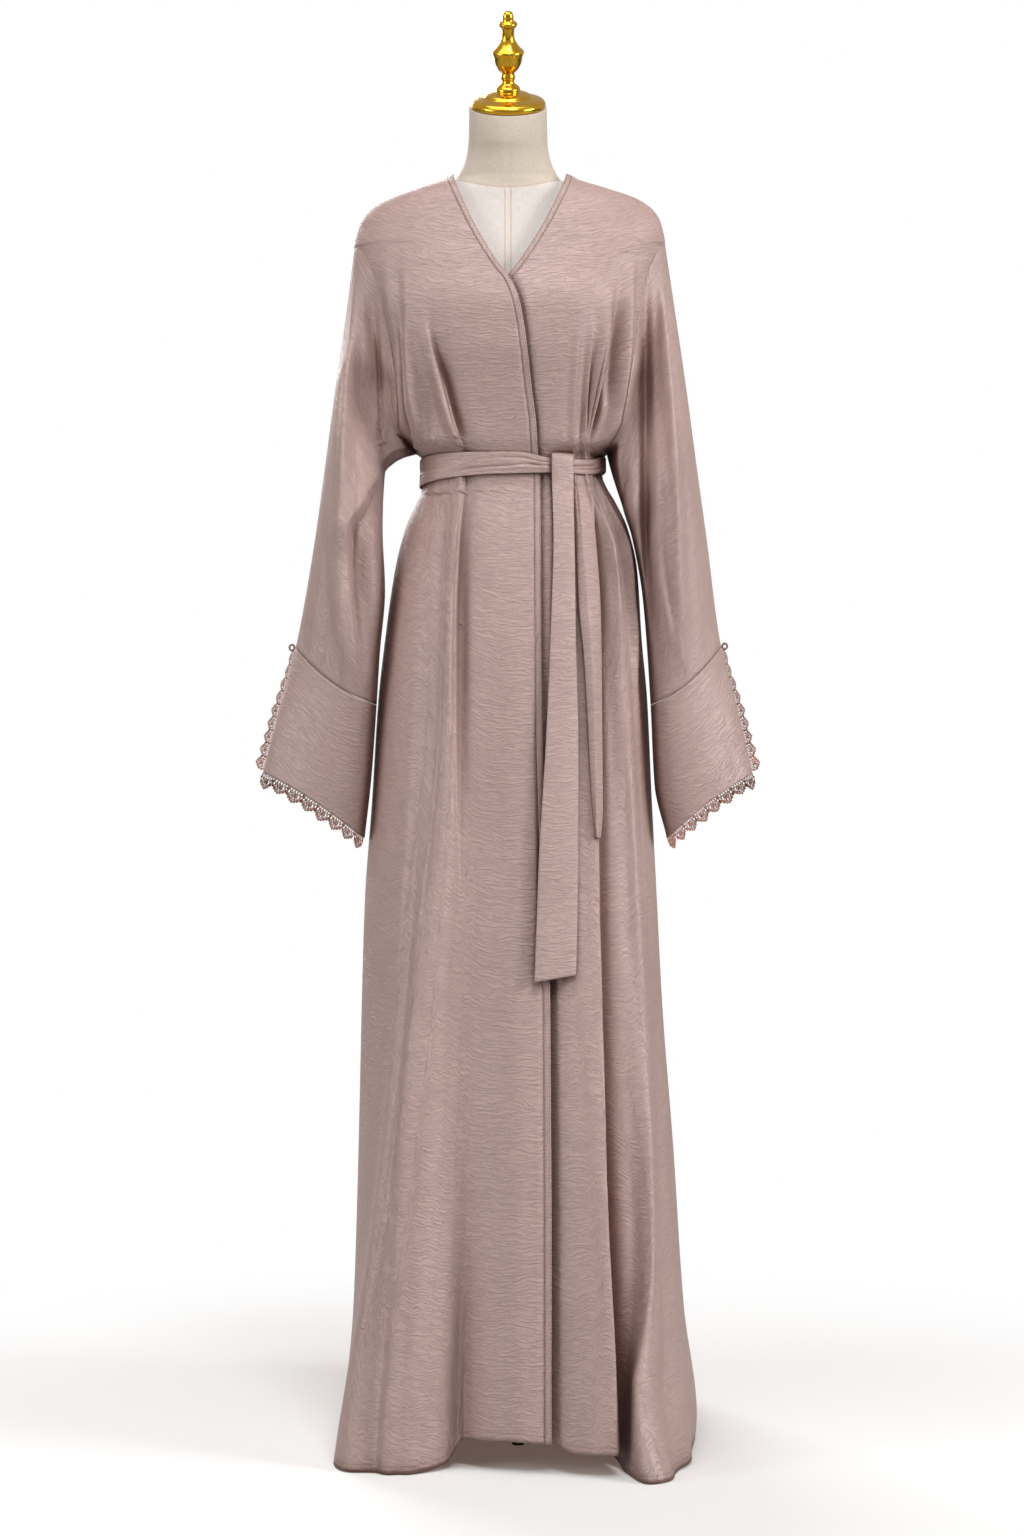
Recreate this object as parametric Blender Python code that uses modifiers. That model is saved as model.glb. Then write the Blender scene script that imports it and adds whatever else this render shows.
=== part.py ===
"""An open wrap abaya with kimono sleeves, slit lace cuffs and a tie belt, worn by a limbless dress form.

Metres, +Z up, the wearer faces -Y, and the wearer's left is +X. The origin lies on the floor under the pole.
Each cloth piece is a wall lofted through sections, and the sections are worked out from the tables below.
"""

import math

import bmesh
import bpy
import numpy as np
from mathutils import Matrix, Vector

OBJECT = "abaya_on_dress_form"

# ---------------------------------------------------------------- driving sizes

CLOTH = 0.0015          # cloth wall, two turnings thick at the edges
BELT_CLOTH = 0.0020     # the belt is cloth folded double
SEAM = 0.0003           # clearance between pieces that touch
BAND_WIDTH = 0.008      # binding along the neck and the front edges
NECK_POINT = 1.502      # height where the neckline meets the shoulder seam
SHOULDER_TOP = 1.4975   # the highest row of the front and back panels
DROP_POINT = 1.418      # the dropped shoulder, where the sleeve begins
UNDERARM = 1.176        # the low underarm of a kimono sleeve
BELT_LEVEL = 1.160      # the top of the belt, above which the body bulges over it
OVERLAP_SINK = 0.0042   # how far the under front lies behind the over front at the waist
HEM_SINK = 0.012        # and at the hem
BACK_NECK_DROP = 0.012  # how far the back neckline dips at the centre
TUCK_HEIGHT = 0.30      # below this height the rows follow the hem's rise
HEAD_TILT = math.radians(24)    # the neck's top and its cap lean forward
CAP_CENTRE = (0.0, -0.012, 1.5856)
FOOT_REACH = 0.105      # from the pole to each foot
FOOT_RADIUS = 0.007
FOOT_HEIGHT = 0.005
POLE_RADIUS = 0.0125
FORM_BOTTOM = 0.845
HEAD_START = 0.15       # the sleeve's narrow head starts this share of a row below the drop point
LACE_REPEAT = 0.019     # one scallop of the lace
LACE_GAP = 0.0010       # from the cuff's middle surface to the lace beside its slit

# ---------------------------------------------------------------- tables


def table(names, *rows):
    """Rows of numbers read as named columns."""
    return {name: np.array(column, float) for name, column in zip(names.split(), zip(*rows))}


# Body sections: half widths to the wearer's right and left, depths in front and behind, and squareness.
BODY = table(
    "z right left front back square",
    (1.5020, 0.0670, 0.0710, 0.052, 0.058, 2.1),
    (1.4985, 0.0735, 0.0790, 0.054, 0.062, 2.1),
    (1.4940, 0.0810, 0.0870, 0.056, 0.066, 2.1),
    (1.4860, 0.1060, 0.1140, 0.060, 0.070, 2.1),
    (1.4700, 0.1500, 0.1600, 0.067, 0.076, 2.1),
    (1.4560, 0.1700, 0.1770, 0.072, 0.080, 2.1),
    (1.4430, 0.1780, 0.1835, 0.077, 0.084, 2.2),
    (1.4150, 0.1845, 0.1885, 0.087, 0.090, 2.2),
    (1.3830, 0.1780, 0.1800, 0.098, 0.095, 2.3),
    (1.3300, 0.1680, 0.1700, 0.110, 0.098, 2.4),
    (1.2900, 0.1620, 0.1640, 0.115, 0.098, 2.4),
    (1.2500, 0.1560, 0.1580, 0.110, 0.095, 2.3),
    (1.2000, 0.1440, 0.1460, 0.100, 0.089, 2.2),
    (1.1760, 0.1240, 0.1270, 0.0925, 0.085, 2.2),
    (1.1680, 0.1050, 0.1150, 0.0885, 0.082, 2.2),
    (1.1600, 0.1015, 0.1125, 0.087, 0.080, 2.2),
    (1.1250, 0.1015, 0.1125, 0.087, 0.080, 2.2),
    (1.1120, 0.1080, 0.1220, 0.090, 0.083, 2.2),
    (1.0770, 0.1230, 0.1400, 0.099, 0.095, 2.2),
    (1.0290, 0.1350, 0.1490, 0.108, 0.110, 2.2),
    (0.9450, 0.1470, 0.1600, 0.122, 0.126, 2.2),
    (0.8730, 0.1550, 0.1665, 0.132, 0.136, 2.2),
    (0.7530, 0.1625, 0.1720, 0.150, 0.152, 2.2),
    (0.6330, 0.1710, 0.1780, 0.170, 0.170, 2.3),
    (0.5130, 0.1745, 0.1840, 0.190, 0.190, 2.4),
    (0.3330, 0.1780, 0.1970, 0.222, 0.228, 2.7),
    (0.1530, 0.1830, 0.2080, 0.252, 0.262, 3.0),
    (0.0330, 0.1900, 0.2230, 0.270, 0.284, 3.3),
    (0.0000, 0.1940, 0.2200, 0.274, 0.306, 3.4),
)

# The neckline and front edge of the over front: distance to the wearer's left of centre.
FRONT_EDGE = table(
    "z across",
    (1.5020, -0.0655), (1.4930, -0.0640),
    (1.4435, -0.0448), (1.4046, -0.0246),
    (1.3759, -0.0065),
    (1.3626, 0.0036), (1.3386, 0.0130),
    (1.3090, 0.0188), (1.2742, 0.0235),
    (1.2333, 0.0282),
    (1.1980, 0.0329), (1.1607, 0.0352),
    (1.1303, 0.0383), (1.0330, 0.0386),
    (0.9395, 0.0396),
    (0.8235, 0.0410), (0.5430, 0.0480),
    (0.3020, 0.0489), (0.0000, 0.0497),
)

# The armhole seam, seen from the front, on each side.
ARMHOLE = table(
    "z right left",
    (1.4180, 0.1900, 0.1900), (1.4040, 0.1720, 0.1760),
    (1.3830, 0.1630, 0.1670), (1.3300, 0.1540, 0.1550),
    (1.2570, 0.1475, 0.1480), (1.2000, 0.1405, 0.1440),
    (1.1860, 0.1330, 0.1370), (1.1760, 0.1300, 0.1300),
)

# Sleeve and cuff sections, keyed by the height of their inner end: `tip` is the outer end's height, `inner`
# the inner end's distance from centre, `set` its place in front of centre, `front` and `back` the fullness,
# and `sag` the drop of the ring's middle.
SLEEVE_RIGHT = table(
    "z tip inner set front back sag",
    (1.4180, 1.4180, 0.187, 0.000, 0.000, 0.000, 0.000),
    (1.3830, 1.3880, 0.170, 0.000, 0.012, 0.010, 0.000),
    (1.3300, 1.3430, 0.160, 0.000, 0.027, 0.022, 0.000),
    (1.2500, 1.2720, 0.150, 0.000, 0.045, 0.036, 0.000),
    (1.2000, 1.2300, 0.140, 0.000, 0.058, 0.048, 0.000),
    (1.1760, 1.2100, 0.126, 0.000, 0.070, 0.058, 0.000),
    (1.1440, 1.1810, 0.1476, 0.012, 0.072, 0.064, 0.000),
    (1.0780, 1.1220, 0.1500, 0.024, 0.072, 0.066, 0.000),
    (1.0020, 1.0550, 0.1470, 0.030, 0.066, 0.062, 0.000),
    (0.9280, 0.9960, 0.1570, 0.034, 0.058, 0.056, -0.006),
    (0.8630, 0.9320, 0.1620, 0.034, 0.050, 0.052, -0.010),
    (0.7800, 0.8600, 0.1680, 0.034, 0.046, 0.050, -0.004),
    (0.7080, 0.7860, 0.1760, 0.034, 0.044, 0.048, 0.006),
)
SLEEVE_LEFT = table(
    "z tip inner set front back sag",
    (1.4180, 1.4180, 0.189, 0.000, 0.000, 0.000, 0.000),
    (1.3830, 1.3880, 0.172, 0.000, 0.012, 0.010, 0.000),
    (1.3300, 1.3430, 0.162, 0.000, 0.027, 0.022, 0.000),
    (1.2500, 1.2720, 0.152, 0.000, 0.045, 0.036, 0.000),
    (1.2000, 1.2300, 0.142, 0.000, 0.058, 0.048, 0.000),
    (1.1760, 1.2100, 0.129, 0.000, 0.070, 0.058, 0.000),
    (1.1430, 1.1800, 0.1300, 0.008, 0.074, 0.062, 0.000),
    (1.1010, 1.1430, 0.1410, 0.020, 0.074, 0.066, 0.000),
    (1.0650, 1.1120, 0.1480, 0.028, 0.072, 0.066, 0.000),
    (0.9930, 1.0480, 0.1610, 0.034, 0.064, 0.060, -0.004),
    (0.8700, 0.9400, 0.1740, 0.036, 0.048, 0.052, -0.010),
    (0.7700, 0.8450, 0.1800, 0.036, 0.046, 0.050, -0.003),
    (0.7100, 0.7850, 0.1960, 0.036, 0.044, 0.048, 0.006),
)
# The sleeve's outer end: its distance from centre at a height.
SLEEVE_OUTER = table(
    "z right left",
    (1.4180, 0.1858, 0.1900), (1.3530, 0.1920, 0.1980),
    (1.2690, 0.2030, 0.2100), (1.1610, 0.2176, 0.2245),
    (1.0650, 0.2308, 0.2376), (0.9450, 0.2520, 0.2535),
    (0.8700, 0.2710, 0.2720), (0.7850, 0.2925, 0.2918),
)

# Heights at which a fold's path (`across`, from centre) and its rise off the plain section (`out`) are given.
SKIRT_LEVELS = (1.12, 0.90, 0.60, 0.30, 0.00)
BODICE_LEVELS = (1.35, 1.30, 1.22, 1.165)
SLEEVE_LEVELS = (1.40, 1.28, 1.14, 1.03, 0.90)
TRAIN_LEVELS = (0.45, 0.25, 0.10, 0.00)


def fold(levels, across, out, inner, outer, lean=0.0):
    """One fold: sizes in mm, flanks towards and away from the centre in mm, lean of its crest in mm."""
    return {
        "z": np.array(levels), "across": np.array(across) / 1000, "out": np.array(out) / 1000,
        "inner": inner / 1000, "outer": outer / 1000, "lean": lean / 1000,
    }


# Folds in front, from the wearer's right side round to the left side.
FRONT_FOLDS = (
    #    levels         across (mm)                      out (mm)                 flanks     lean
    fold(SKIRT_LEVELS, (-88, -112, -122, -131, -162), (0.2, 1, 3, 7, 30), 50, 36),
    fold(SKIRT_LEVELS, (-53, -68, -69, -64, -55), (0.2, -3, -8, -18, -36), 42, 42),
    fold(SKIRT_LEVELS, (-53, -66, -80, -95, -110), (0.4, 3, 2, 6, 12), 14, 30),
    fold(SKIRT_LEVELS, (96, 98, 102, 114, 121), (0.4, 4, 10, 18, 26), 60, 13, 4),
    fold(SKIRT_LEVELS, (104, 112, 122, 134, 137), (-0.3, -2, -12, -22, -30), 14, 16),
    fold(SKIRT_LEVELS, (106, 129, 148, 157, 162), (0.4, 5, 8, 13, 14), 16, 24),
    fold(TRAIN_LEVELS, (158, 158, 157, 155), (0, 3, 21, 53), 18, 52, -42),
    fold(SKIRT_LEVELS, (112, 139, 160, 178, 196), (0.1, 2, 0, -4, 6), 12, 14),
    fold(BODICE_LEVELS, (-98, -94.5, -76.4, -57), (0, 2, 6, 0.4), 8, 24),
    fold(BODICE_LEVELS, (-119, -117, -111.5, -99), (0, 3, 4, 0.4), 9, 8),
    fold(BODICE_LEVELS, (-132, -130, -127, -106), (-5, -7, -8, -0.5), 14, 20),
    fold(BODICE_LEVELS, (86, 85, 81, 80), (0, 1.5, 2.5, 0.4), 14, 10),
    fold(BODICE_LEVELS, (118, 116, 105, 94), (0, 4, 6, 0.4), 14, 10),
    fold(BODICE_LEVELS, (132, 130, 126, 106), (-4, -8, -10, -0.5), 13, 16),
)
# Folds behind, also across from centre: the skirt's cones and the pleats that the belt gathers.
BACK_FOLDS = (
    fold(SKIRT_LEVELS, (-82, -112, -128, -142, -152), (0.3, 4, 9, 16, 22), 30, 34),
    fold(SKIRT_LEVELS, (-50, -66, -80, -90, -98), (-0.3, -5, -9, -15, -22), 22, 24),
    fold(SKIRT_LEVELS, (-22, -30, -36, -44, -50), (0.3, 5, 9, 14, 18), 24, 24),
    fold(SKIRT_LEVELS, (8, 10, 10, 6, 2), (-0.3, -5, -9, -15, -22), 24, 24),
    fold(SKIRT_LEVELS, (36, 46, 54, 58, 60), (0.3, 5, 10, 15, 20), 24, 24),
    fold(SKIRT_LEVELS, (62, 82, 100, 112, 120), (-0.3, -5, -9, -14, -20), 22, 24),
    fold(SKIRT_LEVELS, (90, 120, 140, 158, 172), (0.3, 4, 9, 14, 18), 28, 30),
    fold(BODICE_LEVELS, (-90, -82, -70, -58), (0, 2, 5, 0.4), 10, 16),
    fold(BODICE_LEVELS, (-44, -40, -34, -28), (0, 1, 3, 0.4), 10, 12),
    fold(BODICE_LEVELS, (50, 46, 40, 34), (0, 1, 3, 0.4), 10, 12),
    fold(BODICE_LEVELS, (94, 88, 76, 64), (0, 2, 5, 0.4), 10, 16),
)
# Folds on the sleeves, as distances from the body's centre, front and back.
SLEEVE_RIGHT_FRONT = (
    fold(SLEEVE_LEVELS, (190, 198, 202, 205, 190), (2, 8, 12, 12, 5), 22, 12),
    fold(SLEEVE_LEVELS, (150, 150, 160, 181, 161), (0, 0, 0, 9, 5), 10, 26),
)
SLEEVE_LEFT_FRONT = (
    fold(SLEEVE_LEVELS, (186, 189, 197, 201, 206), (2, 8, 12, 10, 3), 16, 16),
    fold(SLEEVE_LEVELS, (165, 172, 178, 183, 188), (-4, -14, -18, -14, -2), 16, 14),
    fold(SLEEVE_LEVELS, (152, 152, 160, 168, 172), (0, 5, 8, 6, 0), 12, 14),
)
SLEEVE_BACK = (
    fold(SLEEVE_LEVELS, (186, 196, 202, 206, 204), (2, 7, 9, 8, 3), 18, 16),
    fold(SLEEVE_LEVELS, (164, 172, 178, 182, 186), (-3, -9, -10, -8, -2), 16, 16),
)

# The hem's height above the floor across the front and the back (distance from centre).
FRONT_HEM = table(
    "across rise",
    (-0.200, 0.010), (-0.170, 0.000),
    (-0.110, 0.000), (-0.075, 0.006),
    (-0.056, 0.030), (0.000, 0.036),
    (0.050, 0.032), (0.075, 0.024),
    (0.124, 0.024), (0.134, 0.010),
    (0.142, 0.000), (0.175, 0.000),
    (0.200, 0.004),
    (0.230, 0.012),
)
BACK_HEM = table("across rise", (-0.200, 0.010), (-0.100, 0.002), (0.0, 0.0), (0.100, 0.000), (0.230, 0.010))

# The belt round the waist by angle: its edges and how far its middle lies outside the body section.
BELT = table(
    "angle top bottom lift",
    (-180, 1.163, 1.128, 3.7), (-90, 1.1595, 1.127, 3.7),
    (-45, 1.1630, 1.133, 3.7), (-17, 1.1620, 1.136, 3.7),
    (8, 1.1620, 1.137, 3.8), (28, 1.1560, 1.138, 5.3),
    (40, 1.1545, 1.138, 5.3), (62, 1.1560, 1.139, 5.3),
    (76, 1.1620, 1.144, 4.6), (90, 1.1625, 1.146, 4.4),
    (130, 1.1625, 1.135, 4.0),
    (180, 1.163, 1.128, 3.7),
)
# The belt's ends, in mm: left and right edges from centre, height, rise of the right edge above the left one,
# and lift off the plain section.
KNOT = table(
    "left right z tilt lift",
    (53, 76, 1143, 0, 2.55), (52.5, 76.5, 1152, 0, 2.55),
    (52, 77, 1158.2, 0, 3.0), (51.6, 77.2, 1160.9, 0, 5.0),
    (51.5, 77.3, 1158.8, 0, 7.6), (51.5, 77.3, 1152, 0, 8.3),
    (51.6, 77.3, 1140, 0, 8.4), (52, 77.2, 1124, 0, 8.0),
)
TAIL_LONG = table(
    "left right z tilt lift",
    (52, 77.2, 1123.7, 0, 8.0), (52.8, 77.2, 1095, 0, 8.5),
    (53.4, 77.9, 1058, 0, 9.5), (48.9, 79.6, 924, 0, 11),
    (44.2, 81.9, 824, 0, 12), (35.8, 81.2, 687, 0, 13),
    (32.5, 79.6, 600, 0, 14), (30.3, 78.2, 546, 8, 14),
)
TAIL_SHORT = table(
    "left right z tilt lift",
    (79.4, 96.5, 1152, 0, 2.5), (79.4, 97, 1136, 0, 2.5),
    (79.4, 99, 1112, 0, 4.5), (79.8, 103.5, 1058, 0, 8),
    (82.8, 108.5, 979, 0, 11), (88.3, 109.3, 924, 0, 13),
    (92.8, 109.6, 843, 0, 14), (97.4, 110, 748, 0, 14),
    (101, 107.5, 710, 0, 14),
)

# The form's own sections: half width, depths, and how far its axis leans forward.
FORM = table(
    "z half front back lean square",
    (1.5700, 0.0465, 0.0465, 0.0465, 0.011, 2.0),
    (1.5400, 0.0475, 0.0480, 0.0480, 0.005, 2.0),
    (1.5160, 0.0520, 0.0500, 0.0500, 0.001, 2.0),
    (1.5040, 0.0580, 0.0510, 0.0520, 0.000, 2.0),
    (1.4960, 0.0625, 0.0510, 0.0550, 0.000, 2.0),
    (1.4890, 0.0780, 0.0520, 0.0570, 0.000, 2.1),
    (1.4790, 0.1080, 0.0540, 0.0600, 0.000, 2.1),
    (1.4610, 0.1420, 0.0580, 0.0660, 0.000, 2.1),
    (1.4380, 0.1620, 0.0660, 0.0740, 0.000, 2.2),
    (1.4050, 0.1680, 0.0800, 0.0820, 0.000, 2.2),
    (1.3600, 0.1540, 0.0960, 0.0890, 0.000, 2.3),
    (1.2950, 0.1400, 0.1060, 0.0910, 0.000, 2.3),
    (1.2400, 0.1260, 0.0980, 0.0860, 0.000, 2.2),
    (1.1700, 0.1000, 0.0800, 0.0760, 0.000, 2.2),
    (1.1300, 0.0990, 0.0790, 0.0760, 0.000, 2.2),
    (1.0600, 0.1150, 0.0880, 0.0880, 0.000, 2.2),
    (0.9800, 0.1320, 0.1000, 0.1050, 0.000, 2.2),
    (0.9100, 0.1380, 0.1040, 0.1100, 0.000, 2.2),
    (FORM_BOTTOM, 0.1340, 0.1000, 0.1040, 0.000, 2.2),
)

# The turned cap and finial, as radius and height above the rim in mm, from the tip down.
CAP_PROFILE = (
    (0, 111.0), (3.6, 110.2), (5.8, 108.0), (6.6, 104.0), (6.7, 99.0), (10.2, 97.6),
    (11.5, 95.1), (9.6, 92.2), (7.3, 90.0), (7.5, 79.0), (10.2, 73.0), (15.5, 66.5),
    (18.8, 64.0), (19.3, 61.0), (17.6, 58.6), (16.4, 50.0), (12.4, 42.0), (7.0, 37.2),
    (8.7, 34.0), (8.6, 31.0), (7.0, 28.4), (8.0, 25.0), (13.6, 20.8), (14.9, 17.4),
    (13.6, 15.0), (23.0, 13.0), (26.8, 11.2), (28.6, 8.4), (36.5, 7.2), (42.3, 5.2),
    (45.2, 1.4), (44.8, -2.2), (43.6, -4.0), (0, -4.0),
)

# The rows of the panels below the armhole, and the sleeve's rows above and below its own.
YOKE_ROWS = (1.4975, 1.494, 1.487, 1.475, 1.458, 1.438)
ARMHOLE_ROWS = (1.4176, 1.404, 1.38, 1.345, 1.305, 1.265, 1.228, 1.198, 1.176)
SKIRT_ROWS = (1.163, 1.126, 1.11, 1.07, 1.01, 0.93, 0.82, 0.69, 0.55, 0.42, 0.30, 0.20, 0.115, 0.045, 0.0006)
SLEEVE_ROWS = (1.160, 1.135, 1.095, 1.05, 1.00, 0.945, 0.90, 0.866)
CUFF_ROWS = (0.866, 0.82, 0.765, 0.708)
FRONT_COLUMNS = 18
BACK_COLUMNS = 19
SLEEVE_COLUMNS = 18     # even, so that the outer slit falls on a column

CLOTH_COLOUR = (0.455, 0.338, 0.310, 1)
LACE_COLOUR = (0.58, 0.385, 0.33, 1)
LINEN_COLOUR = (0.79, 0.73, 0.65, 1)
GOLD_COLOUR = (0.83, 0.56, 0.10, 1)


# ---------------------------------------------------------------- reading the tables


def at(columns, name, where, key="z"):
    """One column at `where` along the key column, on a smooth curve that never overshoots its rows."""
    order = np.argsort(columns[key])
    x, y = columns[key][order], columns[name][order]
    step = np.diff(x)
    rise = np.diff(y) / step
    before, after = rise[:-1], rise[1:]
    total = np.where(before * after > 0, before + after, 1.0)
    inner = np.where(before * after > 0, 2 * before * after / total, 0.0)
    slope = np.concatenate((rise[:1], inner, rise[-1:]))
    where = np.clip(where, x[0], x[-1])
    i = np.clip(np.searchsorted(x, where) - 1, 0, len(x) - 2)
    t = (where - x[i]) / step[i]
    return (
        y[i] * (1 + 2 * t) * (1 - t) ** 2 + y[i + 1] * t * t * (3 - 2 * t)
        + step[i] * (slope[i] * t * (1 - t) ** 2 - slope[i + 1] * t * t * (1 - t))
    )


def smoothstep(low, high, value):
    """0 below `low`, 1 above `high`, and a smooth rise between."""
    t = np.clip((value - low) / (high - low), 0, 1)
    return t * t * (3 - 2 * t)


def bump(offset, inner, outer):
    """A soft hill, 1 at its crest, which ends `inner` before it and `outer` after it."""
    share = np.where(offset < 0, -offset / inner, offset / outer)
    return np.where(share < 1, (0.5 + 0.5 * np.cos(np.pi * np.clip(share, 0, 1))) ** 1.3, 0)


def superellipse(angle, right, left, front, back, square):
    """Point and outward normal at an angle round a section: 0 is centre front, + the wearer's left."""
    s, c = np.sin(angle), np.cos(angle)
    half = np.where(s < 0, right, left)
    depth = np.where(c > 0, front, back)
    radius = (np.abs(s / half) ** square + np.abs(c / depth) ** square) ** (-1 / square)
    x, y = radius * s, -radius * c
    nx = np.sign(s) * np.abs(x / half) ** (square - 1) / half
    ny = -np.sign(c) * np.abs(y / depth) ** (square - 1) / depth
    size = np.hypot(nx, ny)
    return x, y, nx / size, ny / size


def section_angle(across, z, face=1):
    """The angle at which the body section at z lies `across` from centre, in front (1) or behind (-1)."""
    half = np.where(across < 0, at(BODY, "right", z), at(BODY, "left", z))
    depth = at(BODY, "front", z) if face > 0 else at(BODY, "back", z)
    square = at(BODY, "square", z)
    share = np.clip(np.abs(across) / half, 0, 1)
    return np.arctan2(across, face * depth * (1 - share**square) ** (1 / square))


# ---------------------------------------------------------------- the body surface


def folded(x, z, folds):
    """Total rise and sideways lean of the folds at a distance across and a height."""
    rise, lean = np.zeros_like(x), np.zeros_like(x)
    for one in folds:
        path = at(one, "across", z)
        out = at(one, "out", z)
        ends = smoothstep(one["z"].min() - 0.05, one["z"].min() + 0.02, z) if one["z"].min() > 0.5 else 1
        ends = ends * (1 - smoothstep(one["z"].max() - 0.005, one["z"].max() + 0.045, z))
        offset = (x - path) * np.sign(path)
        reach = at(BODY, "left", z) / 0.17
        hill = bump(offset, one["inner"] * reach, one["outer"] * reach) * ends
        rise += out * hill
        lean += one["lean"] * hill * np.clip(out / 0.02, 0, 1)
    return rise, lean


def body(angle, z, lift=0.0):
    """The cloth's middle surface at an angle round the body and a height."""
    angle, z = np.broadcast_arrays(np.asarray(angle, float), np.asarray(z, float))
    sizes = [at(BODY, name, z) for name in ("right", "left", "front", "back", "square")]
    x, y, nx, ny = superellipse(angle, *sizes)
    front_rise, front_lean = folded(x, z, FRONT_FOLDS)
    back_rise, back_lean = folded(x, z, BACK_FOLDS)
    in_front = smoothstep(-0.04, 0.04, -y / at(BODY, "front", z) * 0.3)
    rise = front_rise * in_front + back_rise * (1 - in_front) + lift
    lean = front_lean * in_front + back_lean * (1 - in_front)
    return np.stack((x + nx * rise - ny * lean, y + ny * rise + nx * lean, z), -1)


def hem_height(angle, z):
    """Rows near the floor rise with the hem."""
    sizes = [at(BODY, name, 0.0) for name in ("right", "left", "front", "back", "square")]
    x, y, _, _ = superellipse(angle, *sizes)
    front, back = at(FRONT_HEM, "rise", x, "across"), at(BACK_HEM, "rise", x, "across")
    share = smoothstep(-0.05, 0.05, -y)
    rise = front * share + back * (1 - share)
    return z + rise * np.clip(1 - z / TUCK_HEIGHT, 0, 1)


def armhole_angle(side, z, face):
    """The angle of the armhole seam on one side (-1 right, 1 left), in front (1) or behind (-1)."""
    across = side * at(ARMHOLE, "left" if side > 0 else "right", z)
    return section_angle(across, z, face)


def side_angle(side, z, face):
    """Where a panel ends at the side: the shoulder seam, the armhole seam or the side seam."""
    seam = np.array([side * math.pi / 2 if h > DROP_POINT or h < UNDERARM + 1e-6 else
                     float(armhole_angle(side, np.array(h), face)) for h in np.atleast_1d(z)])
    return seam


def edge_across(z, inset=0.0):
    """The over front's edge, `inset` back from it towards the wearer's right."""
    return at(FRONT_EDGE, "across", z) - inset


def under_edge_across(z, inset=0.0):
    """The under front's edge: the mirror of the over front's."""
    across = -at(FRONT_EDGE, "across", z)
    return across + np.where(z > 1.36, 0.004 * smoothstep(1.36, 1.50, z), 0) + inset


def sink(angle, z):
    """The under front lies behind the over front's edge and comes forward beside it."""
    edge = section_angle(edge_across(z), z)
    below = smoothstep(1.385, 1.355, z) if np.ndim(z) else 1
    depth = OVERLAP_SINK + (HEM_SINK - OVERLAP_SINK) * smoothstep(1.05, 0.30, z)
    return -depth * (1 - smoothstep(edge + math.radians(1.2), edge + math.radians(7), angle)) * below


def spaced(start, end, count, rows):
    """`count` + 1 angles along each row, evenly from start to end."""
    share = np.linspace(0, 1, count + 1)[None, :]
    start, end = np.broadcast_to(start, rows), np.broadcast_to(end, rows)
    return start[:, None] * (1 - share) + end[:, None] * share


def gathered(angles, z, folds):
    """Move a row's columns towards the crests of its folds, between the same two ends."""
    fine = np.linspace(angles[0], angles[-1], 400)
    sizes = [float(at(BODY, name, z)) for name in ("right", "left", "front", "back", "square")]
    x, y, _, _ = superellipse(fine, *sizes)
    weight = np.ones_like(fine)
    for one in folds:
        if one["z"].min() - 0.05 < z < one["z"].max() + 0.05:
            near = np.abs(x - float(at(one, "across", z))) / (0.5 * (one["inner"] + one["outer"]) + 0.004)
            weight += 2.2 * np.exp(-(near**2) * 2.5) * min(1.0, abs(float(at(one, "out", z))) / 0.006)
    run = np.concatenate(([0], np.cumsum((weight[1:] + weight[:-1]) / 2 * np.hypot(np.diff(x), np.diff(y)))))
    return np.interp(np.linspace(0, run[-1], len(angles)), run, fine)


PANEL_ROWS = np.array(YOKE_ROWS + ARMHOLE_ROWS + SKIRT_ROWS)


def over_front():
    """The right front: from its side seam across to the binding."""
    z = PANEL_ROWS
    angles = spaced(side_angle(-1, z, 1), section_angle(edge_across(z, BAND_WIDTH), z), FRONT_COLUMNS, len(z))
    angles = np.array([gathered(row, h, FRONT_FOLDS) for row, h in zip(angles, z)])
    return body(angles, hem_height(angles, z[:, None]))


def under_front():
    """The left front: from its hidden edge across to its side seam."""
    z = PANEL_ROWS
    start = section_angle(under_edge_across(z, BAND_WIDTH), z)
    angles = spaced(start, side_angle(1, z, 1), FRONT_COLUMNS + 4, len(z))
    angles = np.array([gathered(row, h, FRONT_FOLDS) for row, h in zip(angles, z)])
    height = np.broadcast_to(z[:, None], angles.shape)
    return body(angles, hem_height(angles, height), sink(angles, height))


def back():
    """The back: from the left side round to the right side."""
    z = PANEL_ROWS
    start = side_angle(1, z, -1)
    end = side_angle(-1, z, -1) % (2 * math.pi)
    angles = spaced(start, end, BACK_COLUMNS, len(z))
    height = z[:, None] - back_neck_dip(angles) * smoothstep(1.40, 1.4975, z[:, None])
    return body(angles, hem_height(angles, height))


def back_neck_dip(angle):
    """How far the back neckline lies below the shoulder line at an angle."""
    return BACK_NECK_DROP * np.clip(-np.cos(angle), 0, 1) ** 0.8


def band(edge, lift):
    """A binding from the neck point down a front edge to the hem, two columns wide."""
    z = PANEL_ROWS
    top = smoothstep(1.45, SHOULDER_TOP, z) * (NECK_POINT - SHOULDER_TOP)
    outer_z = z + top
    inner_angle = section_angle(edge(z, BAND_WIDTH), z)
    outer_angle = section_angle(edge(outer_z), outer_z)
    angles = np.stack((inner_angle, outer_angle), 1)
    heights = np.stack((z, outer_z), 1)
    return body(angles, hem_height(angles, heights), lift(angles, heights))


def neck_band():
    """The binding's run round the back of the neck."""
    angles = spaced(np.array(math.pi / 2), np.array(1.5 * math.pi), BACK_COLUMNS, 1)[0]
    rows = []
    for share in (0.0, 1.0):
        z = SHOULDER_TOP - back_neck_dip(angles) + share * (BAND_WIDTH - 0.0025 * np.abs(np.sin(angles)))
        rows.append(body(angles, np.minimum(z, NECK_POINT + 0.002)))
    return np.array(rows)


# ---------------------------------------------------------------- sleeves and cuffs


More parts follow.
